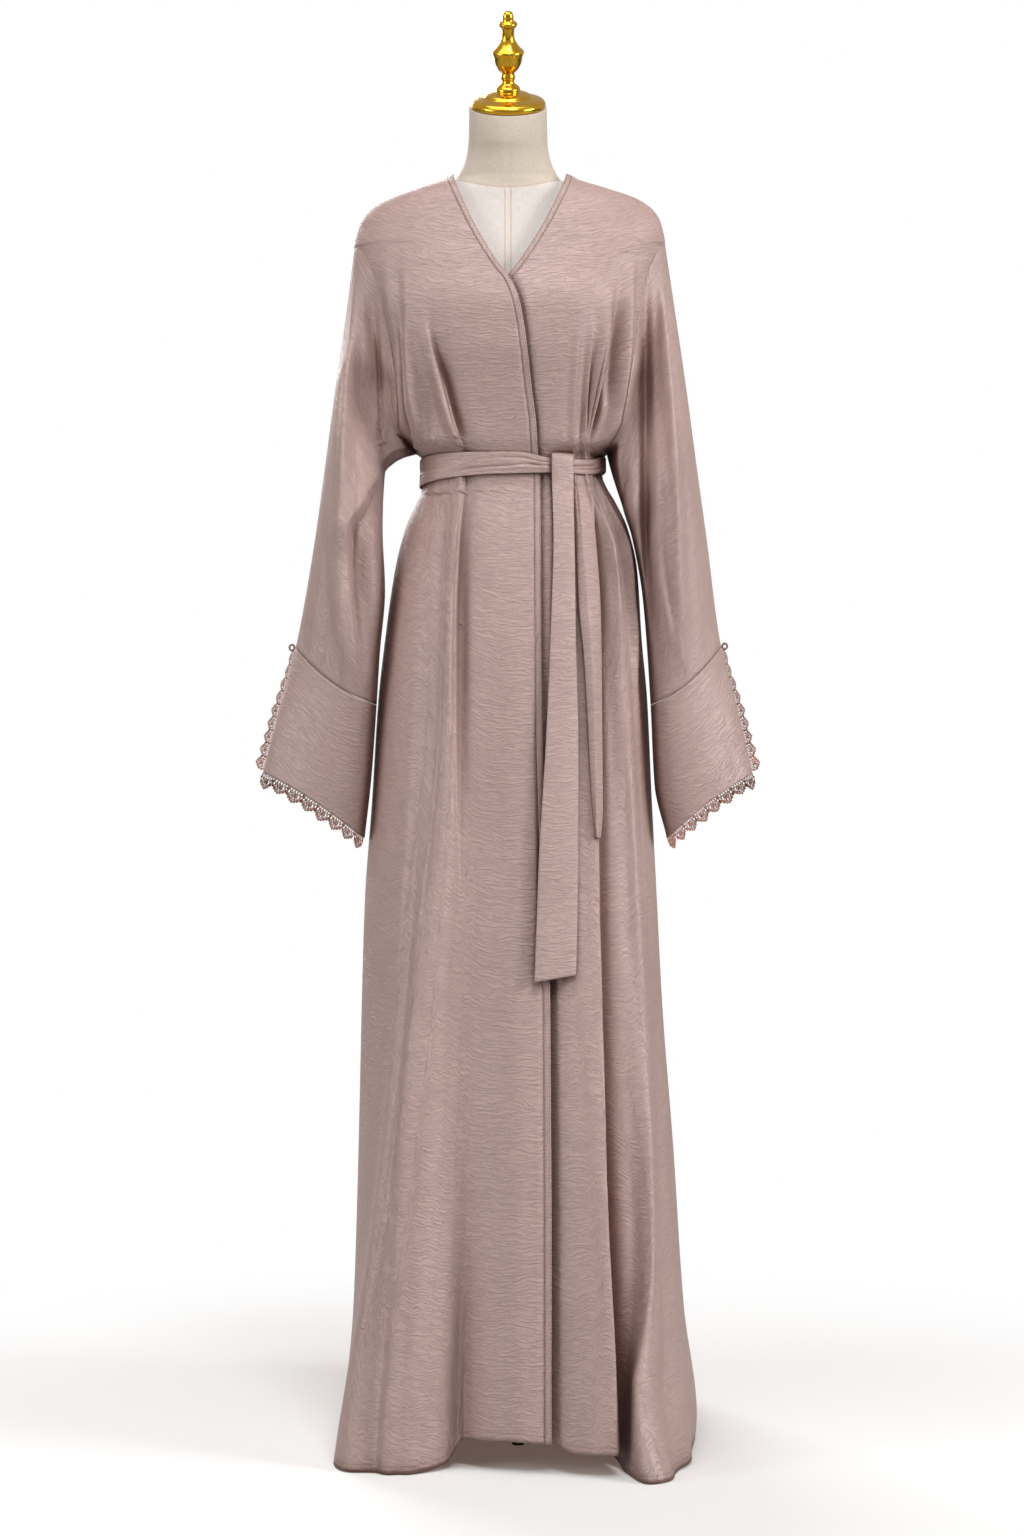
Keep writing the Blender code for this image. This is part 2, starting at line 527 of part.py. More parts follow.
def sleeve_row(side, z, share):
    """One ring of a sleeve or cuff: share 0 is its inner end, 1 its outer end and 2 its inner end behind."""
    sizes = SLEEVE_RIGHT if side < 0 else SLEEVE_LEFT
    name = "right" if side < 0 else "left"
    tip = at(sizes, "tip", z)
    outer = at(SLEEVE_OUTER, name, tip)
    if z > UNDERARM - 1e-6:
        ends = [body(side_angle(side, z, face)[0], z) for face in (1, -1)]
    else:
        ends = [np.array((side * at(sizes, "inner", z), -at(sizes, "set", z), z))] * 2
    front_half = share <= 1
    local = np.where(front_half, share, 2 - share)
    closed = 1 - smoothstep(1.08, 1.20, z)
    along = (1 - closed) * np.sin(np.pi * local / 2) + closed * (1 - np.cos(np.pi * local)) / 2
    hump = np.sin(np.pi * local) ** (0.75 + 0.5 * smoothstep(1.15, 1.22, z))
    end_x = np.where(front_half, ends[0][0], ends[1][0]) * side
    end_y = np.where(front_half, ends[0][1], ends[1][1])
    x = end_x + (outer - end_x) * along
    heights = z + (tip - z) * along + at(sizes, "sag", z) * np.sin(np.pi * along)
    fullness = np.where(front_half, -at(sizes, "front", z), at(sizes, "back", z))
    y = end_y * (1 - along) + fullness * hump
    folds = SLEEVE_RIGHT_FRONT if side < 0 else SLEEVE_LEFT_FRONT
    for own, facing, mask in ((folds, -1, front_half), (SLEEVE_BACK, 1, ~front_half)):
        rise = np.zeros_like(x)
        for one in own:
            hill = bump(x - at(one, "across", heights), one["inner"], one["outer"])
            rise += at(one, "out", heights) * hill
        fade = np.sin(np.pi * local) ** 0.5 * smoothstep(0.84, 0.92, z)
        y = y + np.where(mask, facing * rise * fade, 0)
    return np.stack((side * x, y, heights), -1)


def sleeve(side):
    """The sleeve from the armhole seam to the cuff seam; its rings close below the underarm."""
    share = np.linspace(0, 2, SLEEVE_COLUMNS + 1)
    return np.array([sleeve_row(side, z, share) for z in ARMHOLE_ROWS + SLEEVE_ROWS])


def cuff(side):
    """The cuff, open at its outer slit: its columns run from the slit round the inner side and back."""
    half = SLEEVE_COLUMNS // 2 + 1
    share = np.concatenate((np.linspace(1, 0, half), np.linspace(2, 1, half)[1:]))
    rows = []
    for z in CUFF_ROWS:
        row = sleeve_row(side, z, share)
        opening = 0.013 * smoothstep(CUFF_ROWS[0], CUFF_ROWS[-1], z)
        count = len(share) - 1
        for column in range(len(share)):
            front = max(0.0, 1 - column / 3)
            rear = max(0.0, 1 - (count - column) / 3)
            row[column, 1] += opening * (rear - front)
        rows.append(row)
    return np.array(rows)


def lace_along(edge, direction, width, first, last, gap):
    """A lace strip that starts `gap` off an edge and reaches `width` along `direction` at each point."""
    gaps = np.linalg.norm(np.diff(edge, axis=0), axis=1)
    run = np.concatenate(([0], np.cumsum(gaps)))
    repeats = max(2, round((last - first) * run[-1] / LACE_REPEAT))
    places = np.linspace(first * run[-1], last * run[-1], 3 * repeats + 1)
    rows = []
    for level in (0.0, 0.24, 0.76, 1.0):
        row = []
        for i, place in enumerate(places):
            base = np.array([np.interp(place, run, edge[:, k]) for k in range(3)])
            step = np.array([np.interp(place, run, direction[:, k]) for k in range(3)])
            reach = float(np.interp(place, run, width))
            scallop = 1.0 if i % 3 else (0.80 if level == 1.0 else 1.0)
            row.append(base + step * (gap + reach * level * scallop))
        rows.append(row)
    grid = np.array(rows)
    cells = np.ones((3, 3 * repeats), bool)
    for repeat in range(repeats):
        place = run[-1] * (first + (last - first) * (repeat + 0.5) / repeats)
        if np.interp(place, run, width) * 0.52 > 0.0042:
            cells[1, 3 * repeat + 1] = False
    return grid, cells


def lace_slit(side):
    """Lace that stands out past the slit, sewn to its rear edge and widening downwards."""
    edge = cuff(side)[:, -1]
    direction = np.array([(side * 0.985, -0.10, -0.10)] * len(edge))
    width = np.array((0.004, 0.007, 0.011, 0.013))
    return lace_along(edge, direction, width, 0.03, 0.985, LACE_GAP)


def lace_hem(side):
    """Lace that hangs below the rear half of the cuff's hem."""
    rows = cuff(side)
    half = SLEEVE_COLUMNS // 2
    edge = rows[-1][half + 1:][::-1]
    before = rows[-2][half + 1:][::-1]
    direction = (edge - before) / np.linalg.norm(edge - before, axis=1)[:, None]
    width = np.full(len(edge), 0.017)
    return lace_along(edge, direction, width, 0.05, 0.90, 0.0)


# ---------------------------------------------------------------- belt


def belt_wrap():
    """The belt round the waist, a closed ring."""
    degrees = np.linspace(-180, 180, 41)[:-1]
    angles = np.radians(degrees)
    rows = []
    for share in (1.0, 0.67, 0.33, 0.0):
        top, bottom = at(BELT, "top", degrees, "angle"), at(BELT, "bottom", degrees, "angle")
        lift = at(BELT, "lift", degrees, "angle") / 1000
        rows.append(plain_body(angles, bottom + (top - bottom) * share, lift))
    return np.array(rows)


def plain_body(angle, z, lift):
    """The body section without its folds, moved out by `lift`; above the belt it keeps the belt's section."""
    level = np.minimum(z, BELT_LEVEL)
    sizes = [at(BODY, name, level) for name in ("right", "left", "front", "back", "square")]
    x, y, nx, ny = superellipse(angle, *sizes)
    return np.stack(np.broadcast_arrays(x + nx * lift, y + ny * lift, z), -1)


def belt_end(rows, columns, roll=0.0):
    """A hanging or looped end of the belt, `columns` wide, with its long edges rolled forward by `roll`."""
    grid = []
    share = np.linspace(0, 1, columns + 1)
    for i in range(len(rows["z"])):
        names = ("left", "right", "z", "tilt", "lift")
        left, right, z, tilt, lift = (float(rows[name][i]) / 1000 for name in names)
        across = left + (right - left) * share
        height = z + tilt * share
        out = lift + roll * (2 * np.abs(share - 0.5)) ** 2 * float(np.clip((i - 1) / 3, 0, 1))
        level = np.minimum(height, BELT_LEVEL)
        angle = section_angle(across, level)
        for _ in range(4):
            reach = plain_body(angle, height, out)[:, 0]
            angle = section_angle(across - (reach - plain_body(angle, height, 0.0)[:, 0]), level)
        grid.append(plain_body(angle, height, out))
    return np.array(grid)


# ---------------------------------------------------------------- walls


class Sheet:
    """An open surface as a grid of points; it becomes a wall once it knows its neighbours' normals."""

    def __init__(self, grid, cells=None, ring_from=None, ring=False):
        rows, columns = grid.shape[:2]
        self.points = grid.reshape(-1, 3)
        self.index = np.arange(rows * columns).reshape(rows, columns)
        if ring_from is not None:
            self.index[ring_from:, -1] = self.index[ring_from:, 0]
        self.triangles = []
        last = columns if ring else columns - 1
        for r in range(rows - 1):
            for c in range(last):
                if cells is not None and not cells[r, c]:
                    continue
                n = (c + 1) % columns
                a, b = self.index[r, c], self.index[r, n]
                d, e = self.index[r + 1, c], self.index[r + 1, n]
                self.triangles += [(a, d, e), (a, e, b)]

    def corner_normals(self):
        """Each triangle's area normal, added to its three corners."""
        sums = {}
        for tri in self.triangles:
            a, b, c = (self.points[i] for i in tri)
            normal = np.cross(b - a, c - a)
            for i in tri:
                sums[i] = sums.get(i, 0) + normal
        return sums


def place_key(point):
    """Points of two sheets within a hundredth of a millimetre count as one."""
    return tuple(np.round(point * 1e5).astype(int))


def shared_normals(sheets):
    """One normal for each place, summed over all the sheets that meet there."""
    shared = {}
    for sheet in sheets:
        for i, normal in sheet.corner_normals().items():
            key = place_key(sheet.points[i])
            shared[key] = shared.get(key, 0) + normal
    return {key: normal / np.linalg.norm(normal) for key, normal in shared.items()}


def lower_head(sheet, columns, normals):
    """Start a sleeve's head just below the drop point, along the seams where the panels already meet."""
    for i in range(columns):
        top, below = sheet.points[i].copy(), sheet.points[i + columns]
        normal = normals[place_key(top)] * (1 - HEAD_START) + normals[place_key(below)] * HEAD_START
        sheet.points[i] = top + (below - top) * HEAD_START
        normals[place_key(sheet.points[i])] = normal / np.linalg.norm(normal)


def wall(name, sheet, normals, thickness, material, trim=SEAM * 0.58):
    """A closed wall on both sides of a sheet, drawn back from its edges by `trim`, about half a seam."""
    used = sorted({i for tri in sheet.triangles for i in tri})
    points = {i: sheet.points[i].copy() for i in used}
    edges = {}
    for tri in sheet.triangles:
        for a, b in zip(tri, tri[1:] + tri[:1]):
            edges[(a, b)] = tri
    rim = [edge for edge in edges if (edge[1], edge[0]) not in edges]
    pull = {}
    for a, b in rim:
        third = next(i for i in edges[(a, b)] if i not in (a, b))
        along = sheet.points[b] - sheet.points[a]
        inward = sheet.points[third] - sheet.points[a]
        inward = inward - along * (inward @ along) / (along @ along)
        inward /= np.linalg.norm(inward)
        for i in (a, b):
            pull.setdefault(i, []).append(inward)
    for i, ways in pull.items():
        total = sum(ways)
        size = np.linalg.norm(total)
        corner = min(2.5, len(ways) / max(size, 0.4))
        points[i] = points[i] + total / size * trim * corner
    outer, inner = {}, {}
    mesh = bmesh.new()
    for i in used:
        normal = normals[place_key(sheet.points[i])]
        outer[i] = mesh.verts.new(points[i] + normal * thickness / 2)
        inner[i] = mesh.verts.new(points[i] - normal * thickness / 2)
    for a, b, c in sheet.triangles:
        mesh.faces.new((outer[a], outer[b], outer[c]))
        mesh.faces.new((inner[c], inner[b], inner[a]))
    for a, b in rim:
        mesh.faces.new((outer[b], outer[a], inner[a]))
        mesh.faces.new((outer[b], inner[a], inner[b]))
    return add_mesh(name, mesh, material)


def add_mesh(name, mesh, material):
    """Store a bmesh as a named object with its material in the part's collection."""
    bmesh.ops.recalc_face_normals(mesh, faces=mesh.faces)
    data = bpy.data.meshes.new(name)
    mesh.to_mesh(data)
    mesh.free()
    data.materials.append(material)
    data.shade_smooth()
    obj = bpy.data.objects.new(name, data)
    bpy.data.collections[OBJECT].objects.link(obj)
    return obj


def make_material(name, colour, roughness, metallic=0.0):
    """A plain surface: base colour, roughness and metallic value."""
    material = bpy.data.materials.new(name)
    material.use_nodes = True
    shader = material.node_tree.nodes["Principled BSDF"]
    shader.inputs["Base Color"].default_value = colour
    shader.inputs["Roughness"].default_value = roughness
    shader.inputs["Metallic"].default_value = metallic
    return material


# ---------------------------------------------------------------- pieces


def build_garment(cloth, lace):
    """Every cloth piece: the sheets first, then their walls on shared normals."""
    def no_lift(angles, heights):
        return 0.0

    sheets = {
        "front_right": Sheet(over_front()),
        "front_left": Sheet(under_front()),
        "back": Sheet(back()),
        "band_right": Sheet(band(edge_across, no_lift)),
        "band_left": Sheet(band(under_edge_across, sink)[:, ::-1]),
        "band_neck": Sheet(neck_band()[::-1]),
    }
    for side, name in ((-1, "right"), (1, "left")):
        ring_from = len(ARMHOLE_ROWS) - 1
        grid = sleeve(side)
        sheets[f"sleeve_{name}"] = Sheet(grid if side > 0 else grid[:, ::-1], ring_from=ring_from)
        grid = cuff(side)
        sheets[f"cuff_{name}"] = Sheet(grid[:, ::-1] if side > 0 else grid)
        for kind, shape in (("slit", lace_slit), ("hem", lace_hem)):
            grid, cells = shape(side)
            sheets[f"lace_{kind}_{name}"] = Sheet(grid, cells)
    sheets["belt_wrap"] = Sheet(belt_wrap(), ring=True)
    sheets["belt_knot"] = Sheet(belt_end(KNOT, 3))
    sheets["belt_tail_long"] = Sheet(belt_end(TAIL_LONG, 3))
    sheets["belt_tail_short"] = Sheet(belt_end(TAIL_SHORT, 4, 0.003))
    seams = [name for name in sheets if not name.startswith(("lace", "belt"))]
    normals = shared_normals([sheets[name] for name in seams])
    for name in ("sleeve_right", "sleeve_left"):
        lower_head(sheets[name], SLEEVE_COLUMNS + 1, normals)
    for name, sheet in sheets.items():
        own = normals if name in seams else shared_normals([sheet])
        thickness = BELT_CLOTH if name == "belt_wrap" else CLOTH
        trim = SEAM * (1.2 if name.startswith("sleeve") else 0.58)
        wall(name, sheet, own, thickness, lace if name.startswith("lace") else cloth, trim)


def build_slit_loops(cloth):
    """A small thread loop at the top of each cuff's slit."""
    for side, name in ((-1, "right"), (1, "left")):
        top = cuff(side)[0, 0]
        bpy.ops.mesh.primitive_torus_add(
            major_segments=12, minor_segments=6, major_radius=0.0036, minor_radius=0.0012,
            location=(top[0] + side * 0.0058, top[1], top[2] + 0.001), rotation=(math.pi / 2, 0, 0),
        )
        adopt(f"slit_loop_{name}", cloth)


def adopt(name, material):
    """Name the newest object, give it its material and move it to the part's collection."""
    obj = bpy.context.object
    obj.name = name
    obj.data.name = name
    obj.data.materials.clear()
    obj.data.materials.append(material)
    for collection in list(obj.users_collection):
        collection.objects.unlink(obj)
    bpy.data.collections[OBJECT].objects.link(obj)
    return obj


def build_form(linen):
    """The limbless form: torso and neck in one smooth solid, its neck cut square to its leaning cap."""
    count = 24
    angles = np.linspace(-math.pi, math.pi, count + 1)[:-1]
    tilt = Matrix.Rotation(HEAD_TILT, 4, "X")
    top = Vector(CAP_CENTRE) + tilt @ Vector((0, 0, CAP_PROFILE[-1][1] / 1000 - SEAM))
    rings = []
    for z in FORM["z"]:
        names = ("half", "front", "back", "lean", "square")
        half, front, rear, lean, square = (float(at(FORM, name, z)) for name in names)
        x, y, _, _ = superellipse(angles, half, half, front, rear, square)
        slant = float(smoothstep(1.51, 1.57, z)) * math.tan(HEAD_TILT)
        rings.append([(px, py - lean, z + slant * py) for px, py in zip(x, y)])
    radius = float(FORM["half"][0])
    rings[0] = [tuple(top + tilt @ Vector((radius * math.sin(a), -radius * math.cos(a), 0))) for a in angles]
    mesh = bmesh.new()
    loops = [[mesh.verts.new(point) for point in ring] for ring in rings]
    for upper, lower in zip(loops, loops[1:]):
        for i in range(count):
            n = (i + 1) % count
            mesh.faces.new((upper[i], lower[i], lower[n]))
            mesh.faces.new((upper[i], lower[n], upper[n]))
    mesh.faces.new(loops[0])
    mesh.faces.new(loops[-1][::-1])
    add_mesh("dress_form", mesh, linen)


def build_cap(gold):
    """The turned neck cap with its finial, leaning forward on the neck."""
    data = bpy.data.meshes.new("neck_cap")
    points = [(r / 1000, 0, h / 1000) for r, h in CAP_PROFILE]
    data.from_pydata(points, [(i, i + 1) for i in range(len(points) - 1)], [])
    data.materials.append(gold)
    cap = bpy.data.objects.new("neck_cap", data)
    bpy.data.collections[OBJECT].objects.link(cap)
    turn = cap.modifiers.new("turned", "SCREW")
    turn.steps = turn.render_steps = 16
    turn.use_merge_vertices = True
    turn.merge_threshold = 0.0001
    turn.use_smooth_shade = True
    cap.location = CAP_CENTRE
    cap.rotation_euler = (HEAD_TILT, 0, 0)


def cylinder(name, radius, bottom, top, material, place=(0, 0), vertices=20):
    """An upright cylinder between two heights."""
    bpy.ops.mesh.primitive_cylinder_add(
        vertices=vertices, radius=radius, depth=top - bottom,
        location=(place[0], place[1], (top + bottom) / 2),
    )
    obj = adopt(name, material)
    obj.data.shade_smooth()
    obj.data.set_sharp_from_angle(angle=math.radians(40))
    return obj


def build_stand(gold):
    """A pole, a hub and three curved legs, each on its own flat foot."""
    hub_bottom, hub_top, hub_radius = 0.050, 0.105, 0.021
    cylinder("stand_pole", POLE_RADIUS, hub_top + SEAM, FORM_BOTTOM - SEAM, gold)
    cylinder("stand_hub", hub_radius, hub_bottom, hub_top, gold, vertices=24)
    for name, degrees in (("front", -83.5), ("left", 36.5), ("right", 156.5)):
        way = Vector((math.cos(math.radians(degrees)), math.sin(math.radians(degrees)), 0))
        foot = way * FOOT_REACH
        cylinder(f"stand_foot_{name}", FOOT_RADIUS, 0, FOOT_HEIGHT, gold, foot[:2], 16)
        curve = bpy.data.curves.new(f"stand_leg_{name}", "CURVE")
        curve.dimensions = "3D"
        curve.bevel_depth = 0.0048
        curve.bevel_resolution = 2
        curve.use_fill_caps = True
        line = curve.splines.new("POLY")
        steps = 8
        line.points.add(steps)
        start = hub_radius + SEAM + 0.0002
        for i in range(steps + 1):
            t = i / steps
            reach = start + (FOOT_REACH - start) * (1 - (1 - t) ** 1.6)
            height = 0.080 - (0.080 - FOOT_HEIGHT - SEAM - 0.0008) * t**2.2
            line.points[i].co = (*(way * reach)[:2], height, 1)
        leg = bpy.data.objects.new(f"stand_leg_{name}", curve)
        bpy.data.collections[OBJECT].objects.link(leg)
        weld_curve(leg, gold)


def weld_curve(obj, material):
    """Turn a curve into a mesh with its caps welded on."""
    graph = bpy.context.evaluated_depsgraph_get()
    data = bpy.data.meshes.new_from_object(obj.evaluated_get(graph))
    mesh = bmesh.new()
    mesh.from_mesh(data)
    bmesh.ops.remove_doubles(mesh, verts=mesh.verts, dist=0.00005)
    mesh.to_mesh(data)
    mesh.free()
    data.materials.clear()
    data.materials.append(material)
    name = obj.name
    solid = bpy.data.objects.new(name + "_mesh", data)
    solid.matrix_world = obj.matrix_world
    bpy.data.collections[OBJECT].objects.link(solid)
    bpy.data.objects.remove(obj)
    solid.name = name
    data.name = name


def main():
    """Clear the scene and build every piece."""
    for obj in list(bpy.data.objects):
        bpy.data.objects.remove(obj)
    bpy.context.scene.collection.children.link(bpy.data.collections.new(OBJECT))
    cloth = make_material("dusty rose satin crepe", CLOTH_COLOUR, 0.62)
    lace = make_material("guipure lace", LACE_COLOUR, 0.75)
    linen = make_material("ivory linen over the form", LINEN_COLOUR, 0.85)
    gold = make_material("polished gold plate", GOLD_COLOUR, 0.18, 1.0)
    build_garment(cloth, lace)
    build_slit_loops(cloth)
    build_form(linen)
    build_cap(gold)
    build_stand(gold)


if __name__ == "__main__":
    main()
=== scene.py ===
"""Open wrap abaya with kimono sleeves, lace cuffs and a tie belt, on a limbless dress form with a stand.

Builds the visible pieces round the packed solids. Metres, +Z up, the wearer faces -Y and their left is +X.
"""

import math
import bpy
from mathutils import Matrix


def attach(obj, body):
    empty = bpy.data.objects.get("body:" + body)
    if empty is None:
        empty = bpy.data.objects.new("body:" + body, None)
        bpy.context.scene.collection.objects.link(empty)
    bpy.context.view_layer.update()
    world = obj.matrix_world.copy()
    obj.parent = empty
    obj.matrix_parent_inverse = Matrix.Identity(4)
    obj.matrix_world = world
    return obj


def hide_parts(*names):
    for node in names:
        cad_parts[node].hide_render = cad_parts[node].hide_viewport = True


bl_info = {
    "name": "Abaya on a dress form",
    "version": (1, 0, 0),
    "blender": (4, 5, 0),
    "location": "3D View > Sidebar > Abaya",
    "description": "Builds a draped abaya with lace cuffs and a tie belt on a dress form and stand",
    "category": "Add Mesh",
}

import bmesh
import bpy
import numpy as np
from bpy.props import FloatProperty, FloatVectorProperty, IntProperty, PointerProperty
from mathutils import Matrix, Vector

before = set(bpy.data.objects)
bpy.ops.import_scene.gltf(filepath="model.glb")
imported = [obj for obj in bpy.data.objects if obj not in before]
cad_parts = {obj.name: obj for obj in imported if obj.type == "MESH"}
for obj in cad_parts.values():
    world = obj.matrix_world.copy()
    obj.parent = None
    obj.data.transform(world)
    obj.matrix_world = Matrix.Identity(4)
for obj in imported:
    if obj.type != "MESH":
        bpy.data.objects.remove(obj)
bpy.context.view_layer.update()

# ---- sizes shared with the solids

BAND_WIDTH = 0.008      # binding along the neck and the front edges
NECK_POINT = 1.502      # height where the neckline meets the shoulder seam
SHOULDER_TOP = 1.4975   # the highest row of the front and back panels
DROP_POINT = 1.418      # the dropped shoulder, where the sleeve begins
UNDERARM = 1.168        # the low underarm of a kimono sleeve
CUFF_SEAM = 0.866       # height of the cuff seam's inner end
CUFF_HEM = 0.708
BELT_LEVEL = 1.16      # the top of the belt, above which the body bulges over it
OVERLAP_SINK = 0.0042   # how far the under front lies behind the over front at the waist
HEM_SINK = 0.012        # and at the hem
BACK_NECK_DROP = 0.012
TUCK_HEIGHT = 0.3      # below this height the rows follow the hem's rise
HEAD_TILT = math.radians(24)
CAP_CENTRE = (0.0, -0.012, 1.5856)
FOOT_REACH = 0.105
FOOT_RADIUS = 0.007
FOOT_HEIGHT = 0.005
POLE_RADIUS = 0.0125
FORM_BOTTOM = 0.845
SEAM = 0.0003           # gap between pieces that meet
LACE_GAP = 0.0003       # from a slit's edge to its lace
STITCH_LIFT = 0.0005    # how far stitches lie off the cloth's middle
HEM_WIDTH = 0.009       # from the hem up to its stitch line
SCALLOP = 0.0165        # width and depth of the lace's pattern
SLIT_GAPE = 0.013       # how far a cuff's slit stands open at the hem, to each side
SLIT_LACE_DEPTHS = (0.004, 0.007, 0.011, 0.013)     # from a slit's top down to the hem
HEM_LACE_DEPTH = 0.0185
BAND_PLUMP = 0.0006     # rise of a binding across its width
CALM_FRONT = {"right": -0.036, "left": -0.052}      # where a sleeve's front lies beside the body
CALM_BACK = 0.04
LOOP_RADIUS = 0.003    # the thread loop's ring, its two twisted strands and their thickness
LOOP_TWIST = 0.00055
LOOP_STRAND = 0.0009
LEG_TOP = 0.08         # height of a leg at the hub
LEG_RADIUS = 0.0048
CAMERA_ASIDE = 0.0048
CAMERA_HEIGHT = 0.791
SIDES = ((-1, "right"), (1, "left"))


def table(names, *rows):
    """Rows of numbers read as named columns."""
    return {name: np.array(column, float) for name, column in zip(names.split(), zip(*rows))}


# Body sections: half widths to the wearer's right and left, depths in front and behind, and squareness.
BODY = table(
    "z right left front back square",
    (1.502, 0.067, 0.071, 0.052, 0.058, 2.1),
    (1.4985, 0.0735, 0.079, 0.054, 0.062, 2.1),
    (1.494, 0.081, 0.087, 0.056, 0.066, 2.1),
    (1.486, 0.106, 0.114, 0.06, 0.07, 2.1),
    (1.47, 0.15, 0.16, 0.067, 0.076, 2.1),
    (1.456, 0.17, 0.177, 0.072, 0.08, 2.1),
    (1.443, 0.178, 0.1835, 0.077, 0.084, 2.2),
    (1.415, 0.1845, 0.1885, 0.087, 0.09, 2.2),
    (1.383, 0.178, 0.18, 0.1, 0.095, 2.3),
    (1.33, 0.168, 0.17, 0.1145, 0.098, 2.4),
    (1.29, 0.162, 0.164, 0.113, 0.098, 2.4),
    (1.25, 0.156, 0.158, 0.1045, 0.095, 2.7),
    (1.2, 0.142, 0.145, 0.0945, 0.089, 2.9),
    (1.176, 0.121, 0.129, 0.0905, 0.085, 2.9),
    (1.168, 0.109, 0.119, 0.088, 0.082, 2.5),
    (1.16, 0.1015, 0.1125, 0.087, 0.08, 2.2),
    (1.14, 0.1015, 0.113, 0.087, 0.08, 2.2),
    (1.125, 0.1025, 0.119, 0.087, 0.08, 2.2),
    (1.112, 0.108, 0.127, 0.09, 0.083, 2.2),
    (1.077, 0.123, 0.1435, 0.099, 0.095, 2.2),
    (1.029, 0.135, 0.1545, 0.108, 0.11, 2.2),
    (0.945, 0.147, 0.16, 0.122, 0.126, 2.2),
    (0.873, 0.155, 0.1665, 0.132, 0.136, 2.2),
    (0.753, 0.1625, 0.172, 0.15, 0.152, 2.2),
    (0.633, 0.171, 0.178, 0.17, 0.17, 2.3),
    (0.513, 0.1745, 0.184, 0.19, 0.19, 2.4),
    (0.333, 0.178, 0.197, 0.222, 0.228, 2.7),
    (0.153, 0.183, 0.208, 0.252, 0.262, 3),
    (0.033, 0.19, 0.223, 0.27, 0.284, 3.3),
    (0, 0.194, 0.22, 0.274, 0.306, 3.4),
)

# The neckline and front edge of the over front: distance to the wearer's left of centre.
FRONT_EDGE = table(
    "z across",
    (1.502, -0.0655), (1.493, -0.064),
    (1.4435, -0.0448), (1.4046, -0.0246),
    (1.3759, -0.0065),
    (1.3626, 0.0036), (1.3386, 0.013),
    (1.309, 0.0188), (1.2742, 0.0235),
    (1.2333, 0.0282),
    (1.198, 0.0329), (1.1607, 0.0352),
    (1.1303, 0.0383), (1.033, 0.0386),
    (0.9395, 0.0396),
    (0.8235, 0.041), (0.543, 0.048),
    (0.302, 0.0489), (0, 0.0497),
)

# The armhole seam, seen from the front, on each side.
ARMHOLE = table(
    "z right left",
    (1.418, 0.19, 0.19), (1.404, 0.172, 0.176),
    (1.383, 0.163, 0.167), (1.33, 0.154, 0.155),
    (1.257, 0.1465, 0.144), (1.2, 0.137, 0.133),
    (1.186, 0.129, 0.127), (1.173, 0.117, 0.12), (1.168, 0.11, 0.116),
)

# Sleeve and cuff sections, keyed by the height of their inner end: `tip` is the outer end's height, `inner`
# the inner end's distance from centre, `set` its place in front of centre, `front` and `back` the fullness,
# and `sag` the drop of the ring's middle.
SLEEVE_RIGHT = table(
    "z tip inner set front back sag",
    (1.418, 1.418, 0.187, 0, 0, 0, 0),
    (1.383, 1.388, 0.17, 0, 0.012, 0.01, 0),
    (1.33, 1.343, 0.16, 0, 0.027, 0.022, 0),
    (1.25, 1.272, 0.15, 0, 0.046, 0.037, 0),
    (1.2, 1.23, 0.14, 0, 0.057, 0.048, 0),
    (1.168, 1.203, 0.118, 0, 0.0635, 0.0545, 0),
    (1.16, 1.196, 0.132, 0.006, 0.065, 0.057, 0),
    (1.144, 1.181, 0.1476, 0.012, 0.067, 0.06, 0),
    (1.078, 1.122, 0.15, 0.024, 0.072, 0.066, 0),
    (1.002, 1.055, 0.147, 0.03, 0.066, 0.062, 0),
    (0.928, 0.996, 0.153, 0.034, 0.058, 0.056, -0.006),
    (0.863, 0.932, 0.157, 0.034, 0.05, 0.052, -0.01),
    (0.78, 0.86, 0.163, 0.034, 0.046, 0.05, -0.004),
    (0.708, 0.786, 0.171, 0.034, 0.044, 0.048, 0.006),
)
SLEEVE_LEFT = table(
    "z tip inner set front back sag",
    (1.418, 1.418, 0.189, 0, 0, 0, 0),
    (1.383, 1.388, 0.172, 0, 0.012, 0.01, 0),
    (1.33, 1.343, 0.162, 0, 0.027, 0.022, 0),
    (1.25, 1.272, 0.152, 0, 0.045, 0.036, 0),
    (1.2, 1.23, 0.142, 0, 0.057, 0.048, 0),
    (1.168, 1.203, 0.119, 0, 0.064, 0.0545, 0),
    (1.158, 1.194, 0.1205, 0.014, 0.0655, 0.057, 0),
    (1.143, 1.18, 0.124, 0.024, 0.068, 0.06, 0),
    (1.101, 1.143, 0.137, 0.034, 0.074, 0.066, 0),
    (1.065, 1.112, 0.148, 0.036, 0.072, 0.066, 0),
    (0.993, 1.048, 0.161, 0.034, 0.064, 0.06, -0.004),
    (0.87, 0.94, 0.17, 0.036, 0.048, 0.052, -0.01),
    (0.77, 0.845, 0.175, 0.036, 0.046, 0.05, -0.003),
    (0.71, 0.785, 0.189, 0.036, 0.044, 0.048, 0.006),
)
# The sleeve's outer end: its distance from centre at a height.
SLEEVE_OUTER = table(
    "z right left",
    (1.418, 0.1839, 0.188), (1.353, 0.1918, 0.1978),
    (1.269, 0.203, 0.21), (1.161, 0.2176, 0.2245),
    (1.065, 0.2308, 0.2376), (0.945, 0.252, 0.2535),
    (0.87, 0.271, 0.272), (0.785, 0.2925, 0.2918),
)

